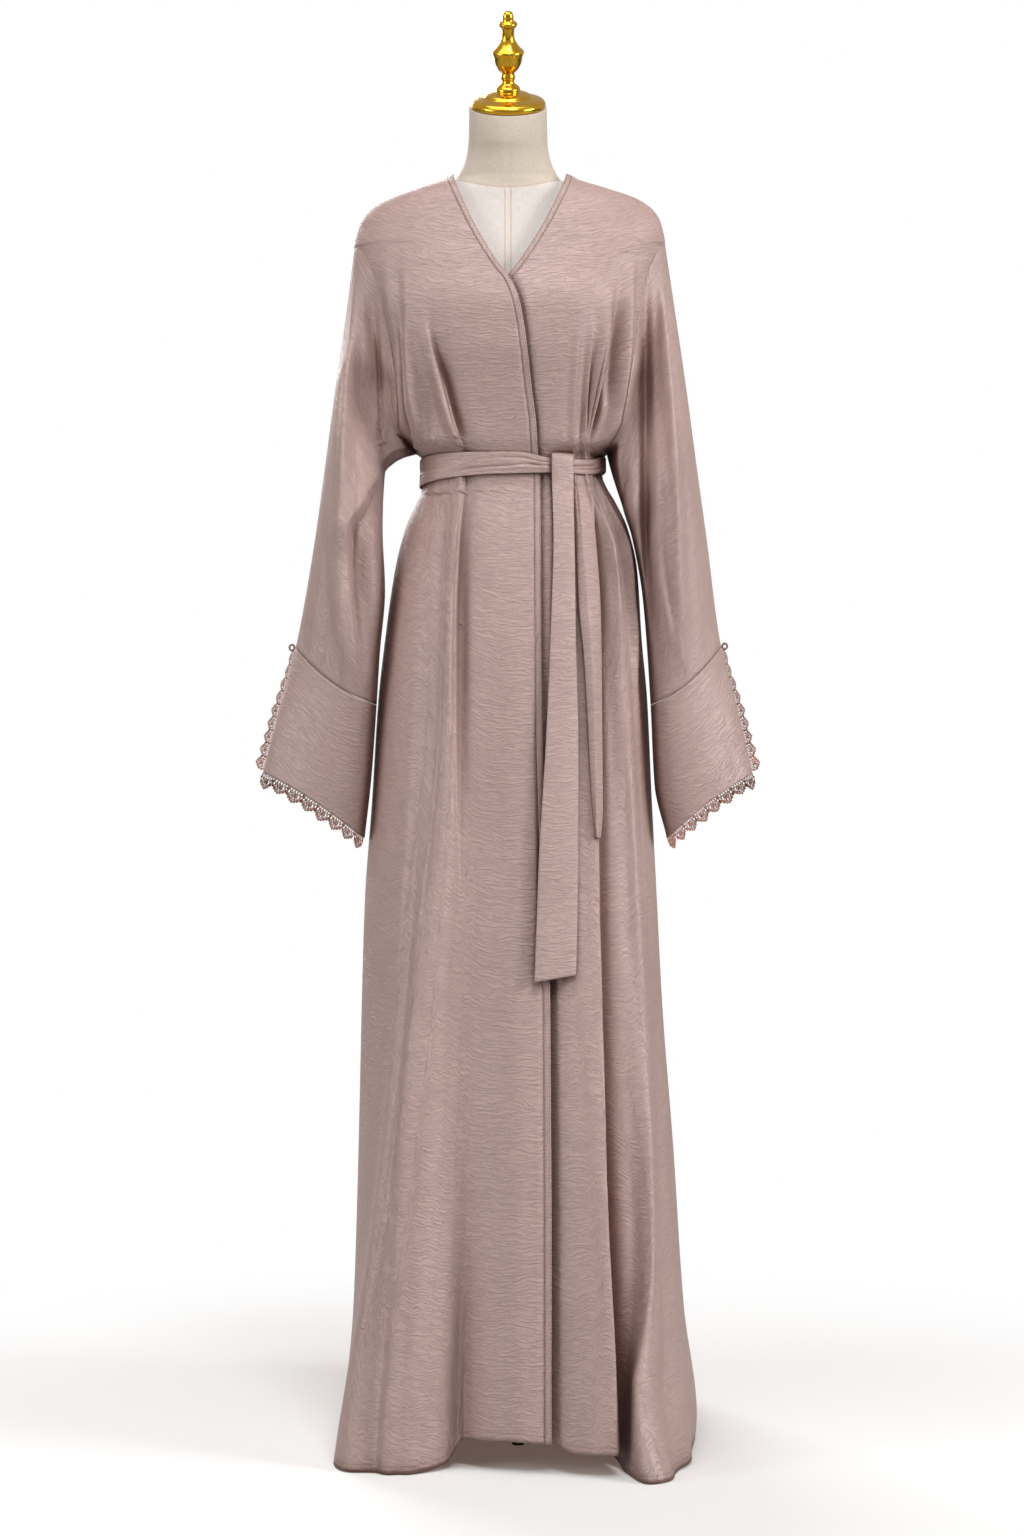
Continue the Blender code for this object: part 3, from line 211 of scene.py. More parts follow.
# Heights at which a fold's path (`across`, from centre) and its rise off the plain section (`out`) are given.
SKIRT_LEVELS = (1.12, 0.9, 0.6, 0.3, 0)
BODICE_LEVELS = (1.35, 1.3, 1.22, 1.165)
SLEEVE_LEVELS = (1.4, 1.28, 1.14, 1.03, 0.9)
TRAIN_LEVELS = (0.45, 0.25, 0.1, 0)


def fold(levels, across, out, inner, outer, lean=0):
    """One fold: sizes in mm, flanks towards and away from the centre in mm, lean of its crest in mm."""
    return {
        "z": np.array(levels), "across": np.array(across) / 1000, "out": np.array(out) / 1000,
        "inner": inner / 1000, "outer": outer / 1000, "lean": lean / 1000,
    }


def fold_rows(*rows):
    """Folds from rows of levels, path, rise, two flanks and, where there is one, lean."""
    return tuple(fold(*row) for row in rows)


# Folds in front, from the wearer's right side round to the left side.
FRONT_FOLDS = fold_rows(
    #    levels         across (mm)                      out (mm)                 flanks     lean
    (SKIRT_LEVELS, (-88, -112, -122, -131, -162), (0.2, 1, 3, 7, 30), 50, 36),
    (SKIRT_LEVELS, (-53, -68, -69, -64, -55), (0.2, -3, -8, -18, -36), 42, 42),
    (SKIRT_LEVELS, (-53, -66, -80, -95, -110), (0.4, 3, 2, 6, 12), 14, 30),
    (SKIRT_LEVELS, (96, 97, 97, 99, 114), (0.4, 4, 10, 18, 26), 60, 12, 4),
    (SKIRT_LEVELS, (104, 110, 115, 117, 129), (-0.3, -2, -12, -22, -30), 14, 20),
    (SKIRT_LEVELS, (106, 129, 148, 157, 162), (0.4, 5, 8, 13, 14), 16, 24),
    (TRAIN_LEVELS, (158, 158, 157, 155), (0, 3, 21, 53), 18, 52, -42),
    (SKIRT_LEVELS, (112, 139, 160, 178, 196), (0.1, 2, 0, -4, 6), 12, 14),
    (BODICE_LEVELS, (-98, -94.5, -76.4, -57), (0, 2, 6, 0.4), 8, 24),
    (BODICE_LEVELS, (-119, -117, -111.5, -99), (0, 3, 4, 0.4), 9, 8),
    (BODICE_LEVELS, (-132, -130, -127, -106), (-5, -7, -8, -0.5), 14, 20),
    (BODICE_LEVELS, (86, 85, 81, 80), (0, 1.5, 2.5, 0.4), 14, 10),
    (BODICE_LEVELS, (118, 116, 105, 94), (0, 4, 6, 0.4), 14, 10),
    (BODICE_LEVELS, (132, 130, 126, 106), (-4, -8, -10, -0.5), 13, 16),
)
# Folds behind, also across from centre: the skirt's cones and the pleats that the belt gathers.
BACK_FOLDS = fold_rows(
    (SKIRT_LEVELS, (-82, -112, -128, -142, -152), (0.3, 4, 9, 16, 22), 30, 34),
    (SKIRT_LEVELS, (-50, -66, -80, -90, -98), (-0.3, -5, -9, -15, -22), 22, 24),
    (SKIRT_LEVELS, (-22, -30, -36, -44, -50), (0.3, 5, 9, 14, 18), 24, 24),
    (SKIRT_LEVELS, (8, 10, 10, 6, 2), (-0.3, -5, -9, -15, -22), 24, 24),
    (SKIRT_LEVELS, (36, 46, 54, 58, 60), (0.3, 5, 10, 15, 20), 24, 24),
    (SKIRT_LEVELS, (62, 82, 100, 112, 120), (-0.3, -5, -9, -14, -20), 22, 24),
    (SKIRT_LEVELS, (90, 120, 140, 158, 172), (0.3, 4, 9, 14, 18), 28, 30),
    (BODICE_LEVELS, (-90, -82, -70, -58), (0, 2, 5, 0.4), 10, 16),
    (BODICE_LEVELS, (-44, -40, -34, -28), (0, 1, 3, 0.4), 10, 12),
    (BODICE_LEVELS, (50, 46, 40, 34), (0, 1, 3, 0.4), 10, 12),
    (BODICE_LEVELS, (94, 88, 76, 64), (0, 2, 5, 0.4), 10, 16),
)
# Folds on the sleeves, as distances from the body's centre, front and back.
SLEEVE_RIGHT_FRONT = fold_rows(
    (SLEEVE_LEVELS, (190, 198, 202, 205, 190), (2, 8, 12, 12, 5), 22, 12),
    (SLEEVE_LEVELS, (150, 150, 160, 181, 161), (0, 0, 0, 1, 4), 10, 26),
)
SLEEVE_LEFT_FRONT = fold_rows(
    (SLEEVE_LEVELS, (186, 189, 197, 201, 206), (2, 8, 12, 10, 3), 16, 16),
    (SLEEVE_LEVELS, (161, 163, 165, 168, 178), (-4, -14, -18, -14, -2), 14, 13),
    (SLEEVE_LEVELS, (144, 145, 147, 152, 160), (0, 4, 6, 5, 0), 14, 6),
)
SLEEVE_BACK = fold_rows(
    (SLEEVE_LEVELS, (186, 196, 202, 206, 204), (2, 7, 9, 8, 3), 18, 16),
    (SLEEVE_LEVELS, (164, 172, 178, 182, 186), (-3, -9, -10, -8, -2), 16, 16),
)

# The hem's height above the floor across the front and the back (distance from centre).
FRONT_HEM = table(
    "across rise",
    (-0.2, 0.01), (-0.17, 0),
    (-0.11, 0), (-0.075, 0.006),
    (-0.056, 0.03), (0, 0.036),
    (0.05, 0.032), (0.075, 0.024),
    (0.124, 0.024), (0.134, 0.01),
    (0.142, 0), (0.175, 0),
    (0.2, 0.004),
    (0.23, 0.012),
)
BACK_HEM = table("across rise", (-0.2, 0.01), (-0.1, 0.002), (0, 0), (0.1, 0), (0.23, 0.01))

# The belt round the waist by angle: its edges and how far its middle lies outside the body section.
BELT = table(
    "angle top bottom lift",
    (-180, 1.163, 1.128, 3.7), (-90, 1.1595, 1.127, 3.7),
    (-45, 1.163, 1.133, 3.7), (-17, 1.162, 1.136, 3.7),
    (8, 1.162, 1.137, 3.8), (28, 1.156, 1.138, 5.3),
    (40, 1.1545, 1.138, 5.3), (62, 1.156, 1.139, 5.3),
    (76, 1.162, 1.144, 4.6), (90, 1.1625, 1.146, 4.4),
    (130, 1.1625, 1.135, 4),
    (180, 1.163, 1.128, 3.7),
)
# The belt's ends, in mm: left and right edges from centre, height, rise of the right edge above the left one,
# and lift off the plain section.
KNOT = table(
    "left right z tilt lift",
    (53, 76, 1143, 0, 2.55), (52.5, 76.5, 1152, 0, 2.55),
    (52, 77, 1158.2, 0, 3), (51.6, 77.2, 1160.9, 0, 5),
    (51.5, 77.3, 1158.8, 0, 7.6), (51.5, 77.3, 1152, 0, 8.3),
    (51.6, 77.3, 1140, 0, 8.4), (52, 77.2, 1124, 0, 8),
)
TAIL_LONG = table(
    "left right z tilt lift",
    (51.7, 77.1, 1160, 0, 7.4), (51.6, 77.2, 1157, 0, 9.2), (51.5, 77.3, 1151, 0, 10.1),
    (51.6, 77.3, 1140, 0, 10.2), (52, 77.2, 1122, 0, 9.6), (52.8, 77.2, 1095, 0, 8.8),
    (53.4, 77.9, 1058, 0, 9.5), (48.9, 79.6, 924, 0, 11),
    (44.2, 81.9, 824, 0, 12), (35.8, 81.2, 687, 0, 13),
    (32.5, 79.6, 600, 0, 14), (30.3, 78.2, 546, 8, 14),
)
TAIL_SHORT = table(
    "left right z tilt lift",
    (79.4, 96.5, 1152, 0, 2.5), (79.4, 97, 1136, 0, 2.5),
    (79.4, 99, 1112, 0, 4.5), (79.8, 103.5, 1058, 0, 8),
    (82.8, 108.5, 979, 0, 11), (88.3, 109.3, 924, 0, 13),
    (92.8, 109.6, 843, 0, 14), (97.4, 110, 748, 0, 14),
    (101, 107.5, 710, 0, 14),
)

# The form's own sections: half width, depths, and how far its axis leans forward.
FORM = table(
    "z half front back lean square",
    (1.57, 0.0465, 0.0465, 0.0465, 0.011, 2),
    (1.54, 0.0475, 0.048, 0.048, 0.005, 2),
    (1.516, 0.052, 0.05, 0.05, 0.001, 2),
    (1.504, 0.058, 0.051, 0.052, 0, 2),
    (1.496, 0.0625, 0.051, 0.055, 0, 2),
    (1.489, 0.078, 0.052, 0.057, 0, 2.1),
    (1.479, 0.108, 0.054, 0.06, 0, 2.1),
    (1.461, 0.142, 0.058, 0.066, 0, 2.1),
    (1.438, 0.162, 0.066, 0.074, 0, 2.2),
    (1.405, 0.168, 0.08, 0.082, 0, 2.2),
    (1.36, 0.154, 0.096, 0.089, 0, 2.3),
    (1.295, 0.14, 0.106, 0.091, 0, 2.3),
    (1.24, 0.126, 0.098, 0.086, 0, 2.2),
    (1.17, 0.1, 0.08, 0.076, 0, 2.2),
    (1.13, 0.099, 0.079, 0.076, 0, 2.2),
    (1.06, 0.115, 0.088, 0.088, 0, 2.2),
    (0.98, 0.132, 0.1, 0.105, 0, 2.2),
    (0.91, 0.138, 0.104, 0.11, 0, 2.2),
    (FORM_BOTTOM, 0.134, 0.1, 0.104, 0, 2.2),
)

# The turned cap and finial, as radius and height above the rim in mm, from the tip down.
CAP_PROFILE = (
    (0, 111), (3.6, 110.2), (5.8, 108), (6.6, 104), (6.7, 99), (10.2, 97.6),
    (11.5, 95.1), (9.6, 92.2), (7.3, 90), (7.5, 79), (10.2, 73), (15.5, 66.5),
    (18.8, 64), (19.3, 61), (17.6, 58.6), (16.4, 50), (12.4, 42), (7, 37.2),
    (8.7, 34), (8.6, 31), (7, 28.4), (8, 25), (13.6, 20.8), (14.9, 17.4),
    (13.6, 15), (23, 13), (26.8, 11.2), (28.6, 8.4), (36.5, 7.2), (42.3, 5.2),
    (45.2, 1.4), (44.8, -2.2), (43.6, -4), (0, -4),
)

# Finer folds that only the cloth's surface shows, added to the ones above.


GATHERS_BELOW = 1.127   # where the short gathers below the belt start
GATHERS_ABOVE = 1.164   # and those above it


def tuck(top, low, length, out, width):
    """A short gather that fans down from the belt: places in mm across, length, rise and flank in mm."""
    heights = [GATHERS_BELOW - share * length / 1000 for share in (0, 0.25, 0.6, 1)]
    across = [top + (low - top) * share for share in (0, 0.25, 0.6, 1)]
    return heights, across, (0.55 * out, out, 0.6 * out, 0), width, width * 1.2


def pinch(low, top, length, out, width):
    """A short gather that runs up from the belt."""
    heights = [GATHERS_ABOVE + share * length / 1000 for share in (1, 0.6, 0.25, 0)]
    across = [low + (top - low) * share for share in (1, 0.6, 0.25, 0)]
    return heights, across, (0, 0.6 * out, out, 0.55 * out), width, width * 1.2


FINE_FRONT = fold_rows(
    # the sharp pleat that opens below the belt on the wearer's right, and its shadow
    ((1.128, 1.05, 0.96, 0.86, 0.7), (-53.5, -60.5, -64, -65, -66), (2.6, 6, 6.5, 4.4, 0), 2.6, 24),
    ((1.128, 1.05, 0.96, 0.86, 0.62), (-49.5, -56, -59, -59, -56), (-3, -7, -9, -8, 0), 28, 2.8),
    # the fan of gathers below the knot, and the sharp edge with the deep hollow beside it
    ((1.136, 1.1, 1.06, 1), (77, 79, 81.5, 84), (2.4, 3.6, 3, 0), 4.5, 1.6),
    ((1.136, 1.1, 1.06, 1.01), (83.5, 89, 94, 99), (2.4, 3.6, 2.6, 0), 4.5, 1.6),
    ((1.136, 1.1, 1.05, 1), (89, 97, 104, 110), (2.4, 4, 3.2, 0), 5, 1.6),
    ((1.136, 1.1, 1.05, 0.98, 0.9), (96, 108, 119, 126, 130), (2.4, 5.5, 7.5, 6, 0), 9, 1.8),
    ((1.136, 1.1, 1.05, 0.97, 0.88), (102, 120, 136, 146, 150), (2.2, 5.5, 8, 6.5, 0), 10, 1.8),
    ((1.13, 1.1, 1.05, 0.98), (108, 127, 144, 154), (1.6, 4, 5, 0), 8, 1.8),
    ((1.132, 1.05, 0.96, 0.87, 0.75), (77, 82, 88, 95, 100), (2.4, 4.4, 4, 3, 0), 9, 2.6),
    ((1.132, 1.05, 0.96, 0.87, 0.75), (92, 117, 124, 130, 136), (2.4, 6, 6, 4, 0), 14, 2.6),
    ((1.132, 1.05, 0.98, 0.9, 0.8), (103, 135, 143, 150, 158), (2, 5, 5, 3.5, 0), 14, 2.6),
    ((1.13, 1.05, 0.95, 0.85, 0.7, 0.5), (96, 97, 97, 97, 98, 99), (2, 4, 5, 5, 4, 0), 20, 2.6),
    ((1.13, 1.05, 0.95, 0.85, 0.7, 0.5), (100, 102, 102, 102, 103, 104), (-2, -6, -9, -10, -8, 0), 2.6, 18),
    ((0.62, 0.5, 0.36, 0.2, 0.05), (99, 98.5, 99, 105, 118), (0, 5, 8, 8, 4), 22, 2.6),
    ((0.62, 0.5, 0.36, 0.2, 0.05), (103, 103, 104, 110, 123), (-2, -7, -9, -9, -4), 3, 14),
    ((0.6, 0.45, 0.3, 0.12), (138, 144, 149, 153), (0, 6, 8, 0), 12, 12),
    # sharp edges of the pleats over the bust
    ((1.33, 1.29, 1.24, 1.2, 1.165), (-99, -91, -78, -67, -56), (0, 2.4, 4.6, 4.6, 1.8), 2.6, 19),
    ((1.32, 1.28, 1.24, 1.2, 1.165), (-94, -86, -73, -62, -51), (0, -4, -8, -8, -3), 26, 3),
    ((1.32, 1.28, 1.23, 1.165), (-124, -119, -114, -103), (0, 2.4, 3.6, 1), 7, 2.4),
    ((1.33, 1.28, 1.23, 1.165), (-132, -128, -123, -112), (0, 3, 4.6, 1), 9, 2.4),
    ((1.33, 1.28, 1.23, 1.19, 1.165), (-136, -131, -126, -119, -113), (0, -5, -10, -11, -5), 3.5, 26),
    ((1.32, 1.28, 1.22, 1.165), (100, 98, 94, 90.5), (0, 2.8, 5, 1.8), 12, 2.2),
    ((1.33, 1.29, 1.23, 1.165), (117, 112, 102, 91), (0, 3.2, 6, 2), 12, 2.2),
    ((1.32, 1.28, 1.22, 1.165), (84, 81, 78.5, 77), (0, 2, 4.2, 1.8), 12, 2.4),
    ((1.34, 1.29, 1.23, 1.175), (126, 121, 112, 98), (0, -6, -12, -7), 4, 24),
    # the deep hollow where the bodice goes over into the right sleeve, and the soft ridge on the left
    ((1.41, 1.36, 1.3, 1.22, 1.172), (-160, -156, -151, -147, -138), (0, -5, -13, -17, -6), 18, 34),
    ((1.4, 1.34, 1.27, 1.2, 1.172), (148, 145, 140, 130, 118), (0, 4, 6, 4, 0), 18, 6),
    # the sides of the bodice draw in towards the belt
    ((1.3, 1.25, 1.215, 1.19, 1.17), (-92, -92, -90, -88, -86), (0, -7, -10, -7, 0), 46, 34),
    ((1.3, 1.25, 1.215, 1.19, 1.17), (100, 100, 98, 96, 92), (0, -7, -10, -7, 0), 50, 36),
    # the broad ridge and the broad trough of the over front's skirt
    ((1.02, 0.85, 0.69, 0.45, 0.23, 0.05), (-64, -72, -79, -104, -134, -150), (0, 5, 9, 11, 11, 8), 22, 30),
    ((1.02, 0.85, 0.69, 0.5, 0.23, 0.03), (-30, -34, -36, -42, -46, -56), (0, -6, -11, -13, -13, -5), 62, 34),
    # long soft folds and hollows down the skirt
    ((1, 0.75, 0.45, 0.1), (-100, -112, -126, -150), (0, 2, 3, 4), 12, 16),
    ((0.9, 0.6, 0.3, 0), (-86, -98, -112, -124), (0, 2.6, 4.4, 7), 9, 15),
    ((0.8, 0.5, 0.25, 0), (-104, -113, -124, -138), (0, -1.8, -3.4, -4.5), 10, 12),
    ((0.86, 0.55, 0.25, 0), (-30, -30, -24, -10), (0, -1.4, -2.4, -4), 30, 26),
    ((0.95, 0.6, 0.3, 0.04), (6, 8, 12, 16), (0, 1, 1.8, 2.2), 22, 20),
    ((0.92, 0.6, 0.3, 0.04), (74, 78, 82, 88), (0, 1.2, 1.8, 2.4), 16, 12),
    ((1.1, 0.9, 0.62, 0.36, 0.1), (99, 110, 115, 117, 127), (0, -1.6, -3.4, -4, -3), 7, 9),
    ((1.08, 0.92, 0.7, 0.42), (118, 131, 141, 150), (0, 2.2, 3, 0), 6, 10),
    ((1.09, 0.94, 0.74, 0.52), (124, 141, 152, 160), (0, -1.8, -2.6, 0), 6, 7),
    ((0.7, 0.45, 0.22, 0), (146, 151, 150, 147), (0, 1.6, 3.4, 6), 8, 12),
    ((0.6, 0.36, 0.16, 0), (170, 176, 180, 178), (0, -2, -4, -5), 9, 12),
    # gathers at the belt
    tuck(-74, -80, 52, 1.3, 4.2), tuck(-67, -70.5, 30, 1.1, 3.4), tuck(-61, -63, 22, 0.9, 3),
    tuck(-84, -92, 64, 1.2, 5), tuck(-93, -103, 44, 1, 4),
    tuck(82, 87, 90, 1.6, 3.6), tuck(90, 100, 70, 1.5, 3.8), tuck(97, 113, 86, 1.5, 4),
    tuck(104, 122, 60, 1.3, 4),
    pinch(-84, -88, 46, 1.2, 4.4), pinch(-70, -75, 34, 1, 3.6), pinch(-94, -101, 58, 1.3, 4.2),
    pinch(86, 89, 40, 1.1, 3.6), pinch(-40, -42, 20, 0.7, 3.2),
)
FINE_BACK = fold_rows(
    ((1, 0.7, 0.4, 0.06), (-98, -108, -118, -126), (0, 2, 3.6, 4.4), 9, 14),
    ((0.88, 0.6, 0.3, 0.04), (-60, -66, -72, -76), (0, -1.6, -3, -4), 12, 9),
    ((1.02, 0.72, 0.4, 0.1), (-6, -8, -10, -14), (0, 1.6, 2.6, 3), 9, 12),
    ((0.94, 0.6, 0.34, 0.06), (28, 32, 34, 33), (0, -1.8, -2.8, -3.6), 9, 9),
    ((1.04, 0.76, 0.44, 0.12), (74, 86, 94, 98), (0, 1.8, 3, 3.2), 12, 8),
    ((0.9, 0.62, 0.3, 0.02), (132, 146, 158, 168), (0, -2, -3, -4), 9, 12),
    ((1.4, 1.34, 1.26, 1.18), (-120, -112, -104, -92), (0, 1.8, 2.6, 0.6), 3.4, 14),
    ((1.38, 1.33, 1.26, 1.18), (116, 108, 101, 90), (0, 1.6, 2.4, 0.6), 3.4, 14),
    ((1.42, 1.36, 1.28, 1.2), (-22, -20, -18, -16), (0, 1.4, 2, 0.6), 12, 10),
    ((1.41, 1.36, 1.28, 1.2), (24, 22, 18, 14), (0, -1.2, -1.8, -0.5), 10, 12),
    tuck(-84, -92, 70, 1.5, 4.6), tuck(-70, -76, 48, 1.2, 4), tuck(-56, -60, 84, 1.6, 4.8),
    tuck(-38, -41, 56, 1.3, 4.2), tuck(-24, -26, 40, 1, 3.6), tuck(-6, -6, 76, 1.5, 4.8),
    tuck(12, 13, 46, 1.2, 4), tuck(28, 31, 66, 1.4, 4.6), tuck(46, 51, 52, 1.2, 4.2),
    tuck(60, 66, 82, 1.5, 4.6), tuck(76, 84, 58, 1.3, 4.2), tuck(90, 100, 72, 1.4, 4.6),
    pinch(-78, -82, 50, 1.3, 4.4), pinch(-50, -53, 64, 1.4, 4.6), pinch(-18, -19, 44, 1.1, 4),
    pinch(20, 21, 58, 1.3, 4.4), pinch(54, 57, 48, 1.2, 4.2), pinch(82, 87, 60, 1.3, 4.4),
)
FINE_SLEEVE_RIGHT = fold_rows(
    ((1.39, 1.34, 1.28, 1.16, 1.06, 0.96), (178, 186, 189, 195, 199, 200), (0, 4, 6, 7, 7, 0), 26, 4),
    ((1.38, 1.32, 1.26, 1.2), (162, 158, 154, 152), (0, -7, -8, 0), 10, 16),
    # the fold that starts at the underarm's notch and runs down and out
    ((1.32, 1.27, 1.2, 1.139, 1.117, 1.089, 1.077, 1.04), (161, 157, 154.5, 153.5, 163, 175, 186, 190),
         (0, 7, 11, 12, 11, 10, 8, 0), 3.2, 30),
    ((1.14, 1.12, 1.1, 1.078, 1.05, 1, 0.9), (148, 157, 167, 181, 185, 183, 172),
         (0, -8, -18, -22, -22, -17, 0), 70, 4),
    ((1.08, 1.02, 0.95, 0.88), (214, 222, 232, 240), (0, 1.6, 2.6, 1), 9, 8),
    ((1.02, 0.97, 0.92, 0.87), (204, 208, 214, 222), (0, -1.6, -2.4, -1), 8, 8),
    ((1.3, 1.22, 1.12, 1), (170, 172, 175, 182), (0, 1.4, 2, 0), 8, 6),
)
FINE_SLEEVE_LEFT = fold_rows(
    ((1.4, 1.34, 1.27, 1.22, 1.18, 1.14, 1.1, 1.05, 1, 0.94),
         (160, 157, 157, 158, 159, 160, 161, 163, 166, 170), (0, -4, -3, 1, 0, -5, -12, -15, -11, 0), 10, 13),
    ((1.39, 1.34, 1.26, 1.16, 1.06), (181, 186, 192, 198, 204), (0, 3, 4, 4, 0), 14, 4),
    ((1.14, 1.08, 1, 0.92), (158, 168, 182, 198), (0, 2, 3, 0), 8, 6),
    ((1.1, 1.04, 0.97, 0.9), (176, 186, 198, 212), (0, -1.8, -2.8, -0.6), 8, 8),
    ((1.02, 0.96, 0.92, 0.88), (192, 200, 207, 214), (0, 2, 2.6, 0.8), 6, 6),
    ((1.24, 1.16, 1.06, 0.96), (206, 212, 220, 230), (0, 1.4, 2.2, 0), 9, 9),
)
FINE_SLEEVE_BACK = fold_rows(
    ((1.36, 1.28, 1.18, 1.06), (178, 184, 190, 196), (0, 2.2, 3.2, 0), 6, 12),
    ((1.34, 1.26, 1.16, 1.08), (154, 156, 158, 164), (0, -2.4, -3.4, 0), 8, 8),
    ((1.12, 1.06, 0.98, 0.9), (164, 174, 188, 204), (0, 1.8, 2.8, 0), 8, 8),
    ((1.06, 1, 0.94, 0.88), (198, 206, 214, 224), (0, -1.6, -2.4, 0), 8, 8),
)

# Creases in the belt: angles of their ends, share of the belt's width at each, depth in mm and half width.
BELT_CREASES = (
    (-46, 30, 0.22, 0.46, -1.3, 0.07), (-12, 31, 0.78, 0.66, -1, 0.06), (2, 32, 0.34, 0.3, 1.1, 0.1),
    (14, 32, 0.62, 0.56, 0.9, 0.07), (-30, 12, 0.1, 0.16, -0.7, 0.06), (42, 66, 0.52, 0.6, -1.2, 0.07),
    (44, 80, 0.28, 0.36, -0.9, 0.06), (-96, -52, 0.62, 0.4, -0.9, 0.08), (-160, -108, 0.35, 0.6, -0.9, 0.08),
    (96, 140, 0.58, 0.34, -1, 0.08), (128, 176, 0.74, 0.6, -0.8, 0.07), (-172, -150, 0.74, 0.8, 0.7, 0.08),
)

WHOLE_FRONT = FRONT_FOLDS + FINE_FRONT
WHOLE_BACK = BACK_FOLDS + FINE_BACK


# ---- reading the tables


def at(columns, name, where, key="z"):
    """One column at `where` along the key column, on a smooth curve that never overshoots its rows."""
    order = np.argsort(columns[key])
    x, y = columns[key][order], columns[name][order]
    step = np.diff(x)
    rise = np.diff(y) / step
    before, after = rise[:-1], rise[1:]
    total = np.where(before * after > 0, before + after, 1.0)
    inner = np.where(before * after > 0, 2 * before * after / total, 0.0)
    slope = np.concatenate((rise[:1], inner, rise[-1:]))
    where = np.clip(where, x[0], x[-1])
    i = np.clip(np.searchsorted(x, where) - 1, 0, len(x) - 2)
    t = (where - x[i]) / step[i]
    return (
        y[i] * (1 + 2 * t) * (1 - t) ** 2 + y[i + 1] * t * t * (3 - 2 * t)
        + step[i] * (slope[i] * t * (1 - t) ** 2 - slope[i + 1] * t * t * (1 - t))
    )


def smoothstep(low, high, value):
    """0 below `low`, 1 above `high`, and a smooth rise between."""
    t = np.clip((value - low) / (high - low), 0, 1)
    return t * t * (3 - 2 * t)


def bump(offset, inner, outer):
    """A soft hill, 1 at its crest, which ends `inner` before it and `outer` after it."""
    share = np.where(offset < 0, -offset / inner, offset / outer)
    return np.where(share < 1, (0.5 + 0.5 * np.cos(np.pi * np.clip(share, 0, 1))) ** 1.3, 0)


def superellipse(angle, right, left, front, back, square):
    """Point and outward normal at an angle round a section: 0 is centre front, + the wearer's left."""
    s, c = np.sin(angle), np.cos(angle)
    half = np.where(s < 0, right, left)
    depth = np.where(c > 0, front, back)
    radius = (np.abs(s / half) ** square + np.abs(c / depth) ** square) ** (-1 / square)
    x, y = radius * s, -radius * c
    nx = np.sign(s) * np.abs(x / half) ** (square - 1) / half
    ny = -np.sign(c) * np.abs(y / depth) ** (square - 1) / depth
    size = np.hypot(nx, ny)
    return x, y, nx / size, ny / size


def section(z):
    """The body's half widths, depths and squareness at a height."""
    return [at(BODY, name, z) for name in ("right", "left", "front", "back", "square")]


def section_angle(across, z, face=1):
    """The angle at which the body section at z lies `across` from centre, in front (1) or behind (-1)."""
    half = np.where(across < 0, at(BODY, "right", z), at(BODY, "left", z))
    depth = at(BODY, "front", z) if face > 0 else at(BODY, "back", z)
    square = at(BODY, "square", z)
    share = np.clip(np.abs(across) / half, 0, 1)
    return np.arctan2(across, face * depth * (1 - share**square) ** (1 / square))


# ---- the body surface


def folded(x, z, folds):
    """Total rise and sideways lean of the folds at a distance across and a height."""
    rise, lean = np.zeros_like(x), np.zeros_like(x)
    for one in folds:
        path = at(one, "across", z)
        out = at(one, "out", z)
        ends = smoothstep(one["z"].min() - 0.05, one["z"].min() + 0.02, z) if one["z"].min() > 0.5 else 1
        ends = ends * (1 - smoothstep(one["z"].max() - 0.005, one["z"].max() + 0.045, z))
        offset = (x - path) * np.sign(path)
        reach = at(BODY, "left", z) / 0.17
        hill = bump(offset, one["inner"] * reach, one["outer"] * reach) * ends
        rise += out * hill
        lean += one["lean"] * hill * np.clip(out / 0.02, 0, 1)
    return rise, lean


def body(angle, z, lift=0.0):
    """The cloth's middle surface at an angle round the body and a height."""
    angle, z = np.broadcast_arrays(np.asarray(angle, float), np.asarray(z, float))
    x, y, nx, ny = superellipse(angle, *section(z))
    front_rise, front_lean = folded(x, z, WHOLE_FRONT)
    back_rise, back_lean = folded(x, z, WHOLE_BACK)
    in_front = smoothstep(-0.04, 0.04, -y / at(BODY, "front", z) * 0.3)
    rise = front_rise * in_front + back_rise * (1 - in_front) + lift
    lean = front_lean * in_front + back_lean * (1 - in_front)
    return np.stack((x + nx * rise - ny * lean, y + ny * rise + nx * lean, z), -1)


def hem_height(angle, z):
    """Rows near the floor rise with the hem."""
    x, y, _, _ = superellipse(angle, *section(0.0))
    front, back = at(FRONT_HEM, "rise", x, "across"), at(BACK_HEM, "rise", x, "across")
    share = smoothstep(-0.05, 0.05, -y)
    rise = front * share + back * (1 - share)
    return z + rise * np.clip(1 - z / TUCK_HEIGHT, 0, 1)


def armhole_angle(side, z, face):
    """The angle of the armhole seam on one side (-1 right, 1 left), in front (1) or behind (-1)."""
    across = side * at(ARMHOLE, "left" if side > 0 else "right", z)
    return section_angle(across, z, face)


def side_angle(side, z, face):
    """Where a panel ends at the side: the shoulder seam, the armhole seam or the side seam."""
    return np.array([side * math.pi / 2 if h > DROP_POINT or h < UNDERARM + 1e-6 else
            float(armhole_angle(side, np.array(h), face)) for h in np.atleast_1d(z)])


def edge_across(z, inset=0.0):
    """The over front's edge, `inset` back from it towards the wearer's right."""
    return at(FRONT_EDGE, "across", z) - inset


def under_edge_across(z, inset=0.0):
    """The under front's edge: the mirror of the over front's."""
    return -at(FRONT_EDGE, "across", z) + 0.004 * smoothstep(1.36, 1.5, z) + inset


